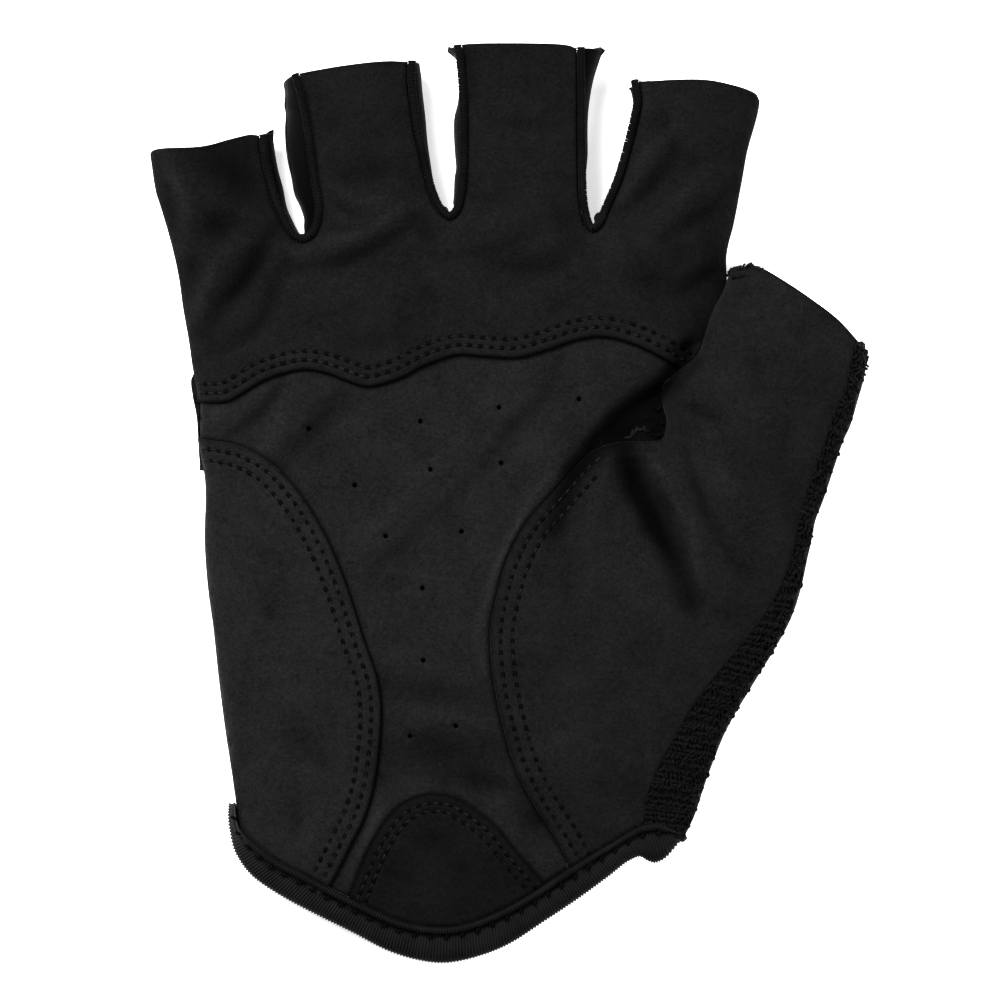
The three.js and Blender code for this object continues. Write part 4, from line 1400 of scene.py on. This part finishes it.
def tapeStitches():
    inner, directions, widths, base, _ = tapeFrame(hemStations(0.3 * mm))
    reach = np.minimum(1, widths / cuffTape["fullWidth"]) * cuffTape["stitchAt"]
    line = raised(inner + directions * reach[:, None], base + cuffTape["stitchLift"])[8:-14]
    size = cuffTape["stitchSize"]
    path = [(size * x, size * y, z * mm) for x, y, z in ((1.5, 1.3, -0.1), (0.6, 0.5, 0))]
    path += [(-x, -y, z) for x, y, z in reversed(path)]
    slanted = tube("slantedStitch", path, [size * share for share in (0.6, 1, 1, 0.6)], 6, 0.6)
    return repeated("tapeStitches", [line], slanted, cuffTape["stitchPitch"], "darkStitchAndHoleShadow", 0.08, 0.08, 6)


def addCuffTape():
    made = merged("cuffBinding", [tapeBody(), tapeStitches()])
    finishPiece(made, ["cuff_binding"])
    print("cuff_binding done,", len(made.data.polygons), "faces")


addCuffTape()


# Back of the glove, below

underPieces = {
    "thickness": 1.0 * mm, "coarse": 2.2 * mm, "fine": 1.1 * mm,
    "sideLift": 0.7 * mm,  # how far its edge stays below the upper pieces' edge
}


def lowerSheet(name, outline, material):
    plan, faces = panelPlan(outline, nearTree([outline[:2]]), underPieces["coarse"], underPieces["fine"], 0)
    nearEdge = distances(nearTree([outline]), plan) < underPieces["coarse"]
    heights = np.maximum(relaxed(skinHeights(plan, False), faces, nearEdge, 6), 0)
    edgeTree = nearTree([upperEdges])
    fromSide = distances(sideTree, plan)
    for i in np.flatnonzero(fromSide < 0.15 * mm):
        _, nearest, gap = edgeTree.find((*plan[i], 0))
        if gap < 1.5 * mm:
            heights[i] = max(heights[i], upperEdges[nearest].z - underPieces["sideLift"])
    made = addSheet(name, plan, heights, faces, material, np.ones(len(plan)))
    made.data.flip_normals()
    return thicken(made, underPieces["thickness"], set(np.flatnonzero(fromSide < 0.8 * mm)))


thumbCut = traced(shares([
    (742, 655), (713, 606), (704, 560), (690, 500), (670, 430), (655, 340), (650, 250), (655, 180), (665, 108),
]))
cuffBack = traced(shares([(665, 108), (428, 112), (210, 118), (125, 150), (121, 171)]))
upperLines = [
    leftSide, littleMouth, gapOutlines["little_ring"], ringMouth, gapOutlines["ring_middle"], middleMouth,
    gapOutlines["middle_index"], indexMouth, indexSide,
]
backOutline = joined(*[traced(line) for line in upperLines], thumbCut, cuffBack)
finishPiece(lowerSheet("backPanel", backOutline, "backKnit"), ["back_panel"])
thumbOutline = joined(list(reversed(thumbCut)), traced(thumbLeft), traced(thumbMouth), traced(thumbSide),
                      traced(shares([(745, 137), (665, 108)])))
print("back panel done")


# Terry strip beside the thumb, with its loops and the gusset in the thumb's crotch

terry = {
    "rows": 98, "skipped": 2,  # rows left out at each end
    "rowShift": 0.5, "endInset": 0.80 * mm, "pitch": 0.80 * mm,
    "loopRadius": 0.27 * mm, "sink": 0.40 * mm, "unevenSink": 0.10,
    "stripSink": 0.5 * mm, "stripThickness": 0.9 * mm,
    # the gusset's lower tone and its darker pocket are painted shade
    "gussetSink": 0.30 * mm, "gussetThickness": 0.4 * mm, "gussetShade": 0.40,
    "pocketShade": 0.7, "pocketSize": 1.7 * mm,
    "looseSink": 0.35 * mm, "deepSink": 0.50 * mm, "tuftPitch": 0.85 * mm,
}
crotchOutline = shares([
    (627, 571), (658, 593), (690, 609), (722, 621), (733, 600), (727, 572), (713, 558), (680, 556),
    (655, 555), (636, 558), (627, 571),
])
crotchPocket = shares((705, 578))
looseRows = shares([  # loops that show at the thumb's mouth and in the crotch, lighter in colour: painted highlight
    [(809, 748), (820, 753), (833, 754.5), (846, 751)], [(812, 744), (842, 745)],
    [(983, 670), (993, 663), (997, 652), (992, 639)], [(985, 664), (987, 645)],
    [(668, 571), (678, 578), (690, 580)],
])
# loops deep in the crotch, given a darker colour: painted shade
crotchRows = shares([
    [(690, 568), (704, 562), (718, 566)], [(688, 580), (706, 572), (722, 578)],
    [(694, 592), (710, 585), (724, 590)], [(702, 602), (724, 600)],
])


def looseLine(line, palmFrom, sink):
    spots = planArray(traced(line, 0.4 * mm))
    return raised(spots, skinHeights(spots, True, palmFrom) - sink)


def terryStrip():
    outline = joined(traced(terrySeam), tracedBack(thumbSide), traced(shares([(999, 661), (982, 675)])))
    plan, faces = panelPlan(outline, nearTree([outline[:2]]), 1.4 * mm, 0.7 * mm, 0)
    nearSide = distances(nearTree([traced(thumbSide)]), plan) < 2.0 * mm
    heights = relaxed(skinHeights(plan), faces, nearSide, 8)
    noteEdges(plan, heights)
    strip = addSheet("terryStrip", plan, heights - terry["stripSink"], faces, "terryKnit", np.ones(len(plan)))
    return thicken(facedUp(strip), terry["stripThickness"])


def terryRows():  # one line of loops for each row, from the suede's edge to the glove's side
    random.seed(11)
    seam, side = (evenly(line, sum((b - a).length for a, b in zip(line, line[1:])) / terry["rows"])
                  for line in (traced(terrySeam), traced(thumbSide)))
    rows = []
    for a, b in list(zip(seam, side))[terry["skipped"]:-terry["skipped"]]:
        steps = max(2, round((b - a).length / terry["pitch"]))
        shift = Vector([random.uniform(-terry["rowShift"], terry["rowShift"]) * mm for _ in range(2)])
        b = b + (a - b).normalized() * terry["endInset"]
        spots = planArray(a + shift + (b - a) * (i / steps) for i in range(steps + 1))
        uneven = random.uniform(-terry["unevenSink"], terry["unevenSink"]) * mm
        rows.append(raised(spots, skinHeights(spots) - terry["sink"] + uneven))
    return rows


def crotchGusset():
    plan, faces = panelPlan(traced(crotchOutline), nearTree([traced(thumbSide)[:2]]), 0.7 * mm, 0.7 * mm, 0)
    heights = skinHeights(plan, True, palmTop) - terry["gussetSink"]
    pocket = np.linalg.norm(plan - np.array(place(*crotchPocket)), axis=1) / terry["pocketSize"]
    # painted shade: the gusset darkened overall and most in the crotch's pocket
    tones = terry["gussetShade"] * foldsAt(plan)[1] * (1 - terry["pocketShade"] * np.exp(-pocket ** 2))
    gusset = facedUp(addSheet("crotchGusset", plan, heights, faces, "gussetKnit", tones))
    return thicken(gusset, terry["gussetThickness"])


def addTerry():
    strip = terryStrip()
    loopPath = [(x * mm, y * mm, z * mm) for x, y, z in (
        (-0.58, 0.16, -0.35), (-0.44, 0.18, 0.08), (-0.16, 0, 0.28), (0.16, -0.08, 0.28), (0.44, -0.18, 0.08),
        (0.58, -0.08, -0.35))]
    loop = tube("loopItem", loopPath, [terry["loopRadius"]] * len(loopPath))
    loops = repeated("terryLoops", terryRows(), loop, terry["pitch"], "terryLoops", 1.5, 0.25, 8)
    gusset = crotchGusset()
    deep = [looseLine(line, palmTop, terry["deepSink"]) for line in crotchRows]
    inner = repeated("deepLoops", deep, loop, terry["tuftPitch"], "deepLoops", 1.4, 0.3, 10)
    tips = [looseLine(line, None, terry["looseSink"]) for line in looseRows]
    loose = repeated("looseLoops", tips, loop, terry["tuftPitch"], "looseLoops", 1.4, 0.25, 9)
    under = lowerSheet("thumbUnder", thumbOutline, "terryKnit")
    made = merged("thumbBack", [strip, loops, gusset, inner, loose, under])
    finishPiece(made, ["thumb_back"])
    print("thumb_back done,", len(made.data.polygons), "faces")


addTerry()


# Hem band of the back: its section as shares of its width outwards and of its thickness upwards

backHem = {"width": 4.5 * mm, "thickness": 1.7 * mm, "lift": 0.1 * mm, "endU": 0.65}
hemSection = [(0, 0.5), (0.06, 0.1), (0.3, 0), (0.8, 0.05), (1, 0.35), (1, 0.8), (0.8, 1), (0.3, 1), (0.06, 0.9)]


def addBackHem():
    edge = traced([pair for pair in backHemEdge if pair[0] < backHem["endU"]], 1.0 * mm)
    verts = []
    for point, beyond in zip(edge, shifted(edge, 1.0)):
        inwards = (beyond - point).normalized()
        for out, up in hemSection:
            spot = point + inwards * (backHem["width"] * out)
            verts.append((spot.x, spot.y, backHem["lift"] + up * backHem["thickness"]))
    faces = tubeFaces(len(edge), len(hemSection))
    made = facedOut(addMesh("backHem", verts, faces, "ribbedTape", np.ones(len(verts))))
    finishPiece(made, ["back_hem"])


addBackHem()
print("back hem done")


# Floor

floorLook = {
    "dark": (0.93, 0.93, 0.93), "light": (0.95, 0.95, 0.95), "grainSize": 40 * mm, "roughness": 0.9, "half": 1.5,
}


def addFloor():
    shader = Shader("paleFloor")
    surface = shader.node("ShaderNodeBsdfPrincipled", None, {
        "Base Color": shader.tint(shader.noise(floorLook["grainSize"], 2, 0.5), floorLook),
        "Roughness": floorLook["roughness"],
        "Emission Color": (1, 1, 1, 1),
        "Emission Strength": lights["floorGlow"],
    })
    shader.node("ShaderNodeOutputMaterial", None, {"Surface": surface.outputs[0]})
    materials["paleFloor"] = shader.material
    half = floorLook["half"]
    verts = [(-half, -half, 0), (half, -half, 0), (half, half, 0), (-half, half, 0)]
    addMesh("floor", verts, [(0, 1, 2, 3)], "paleFloor", smooth=False)


addFloor()
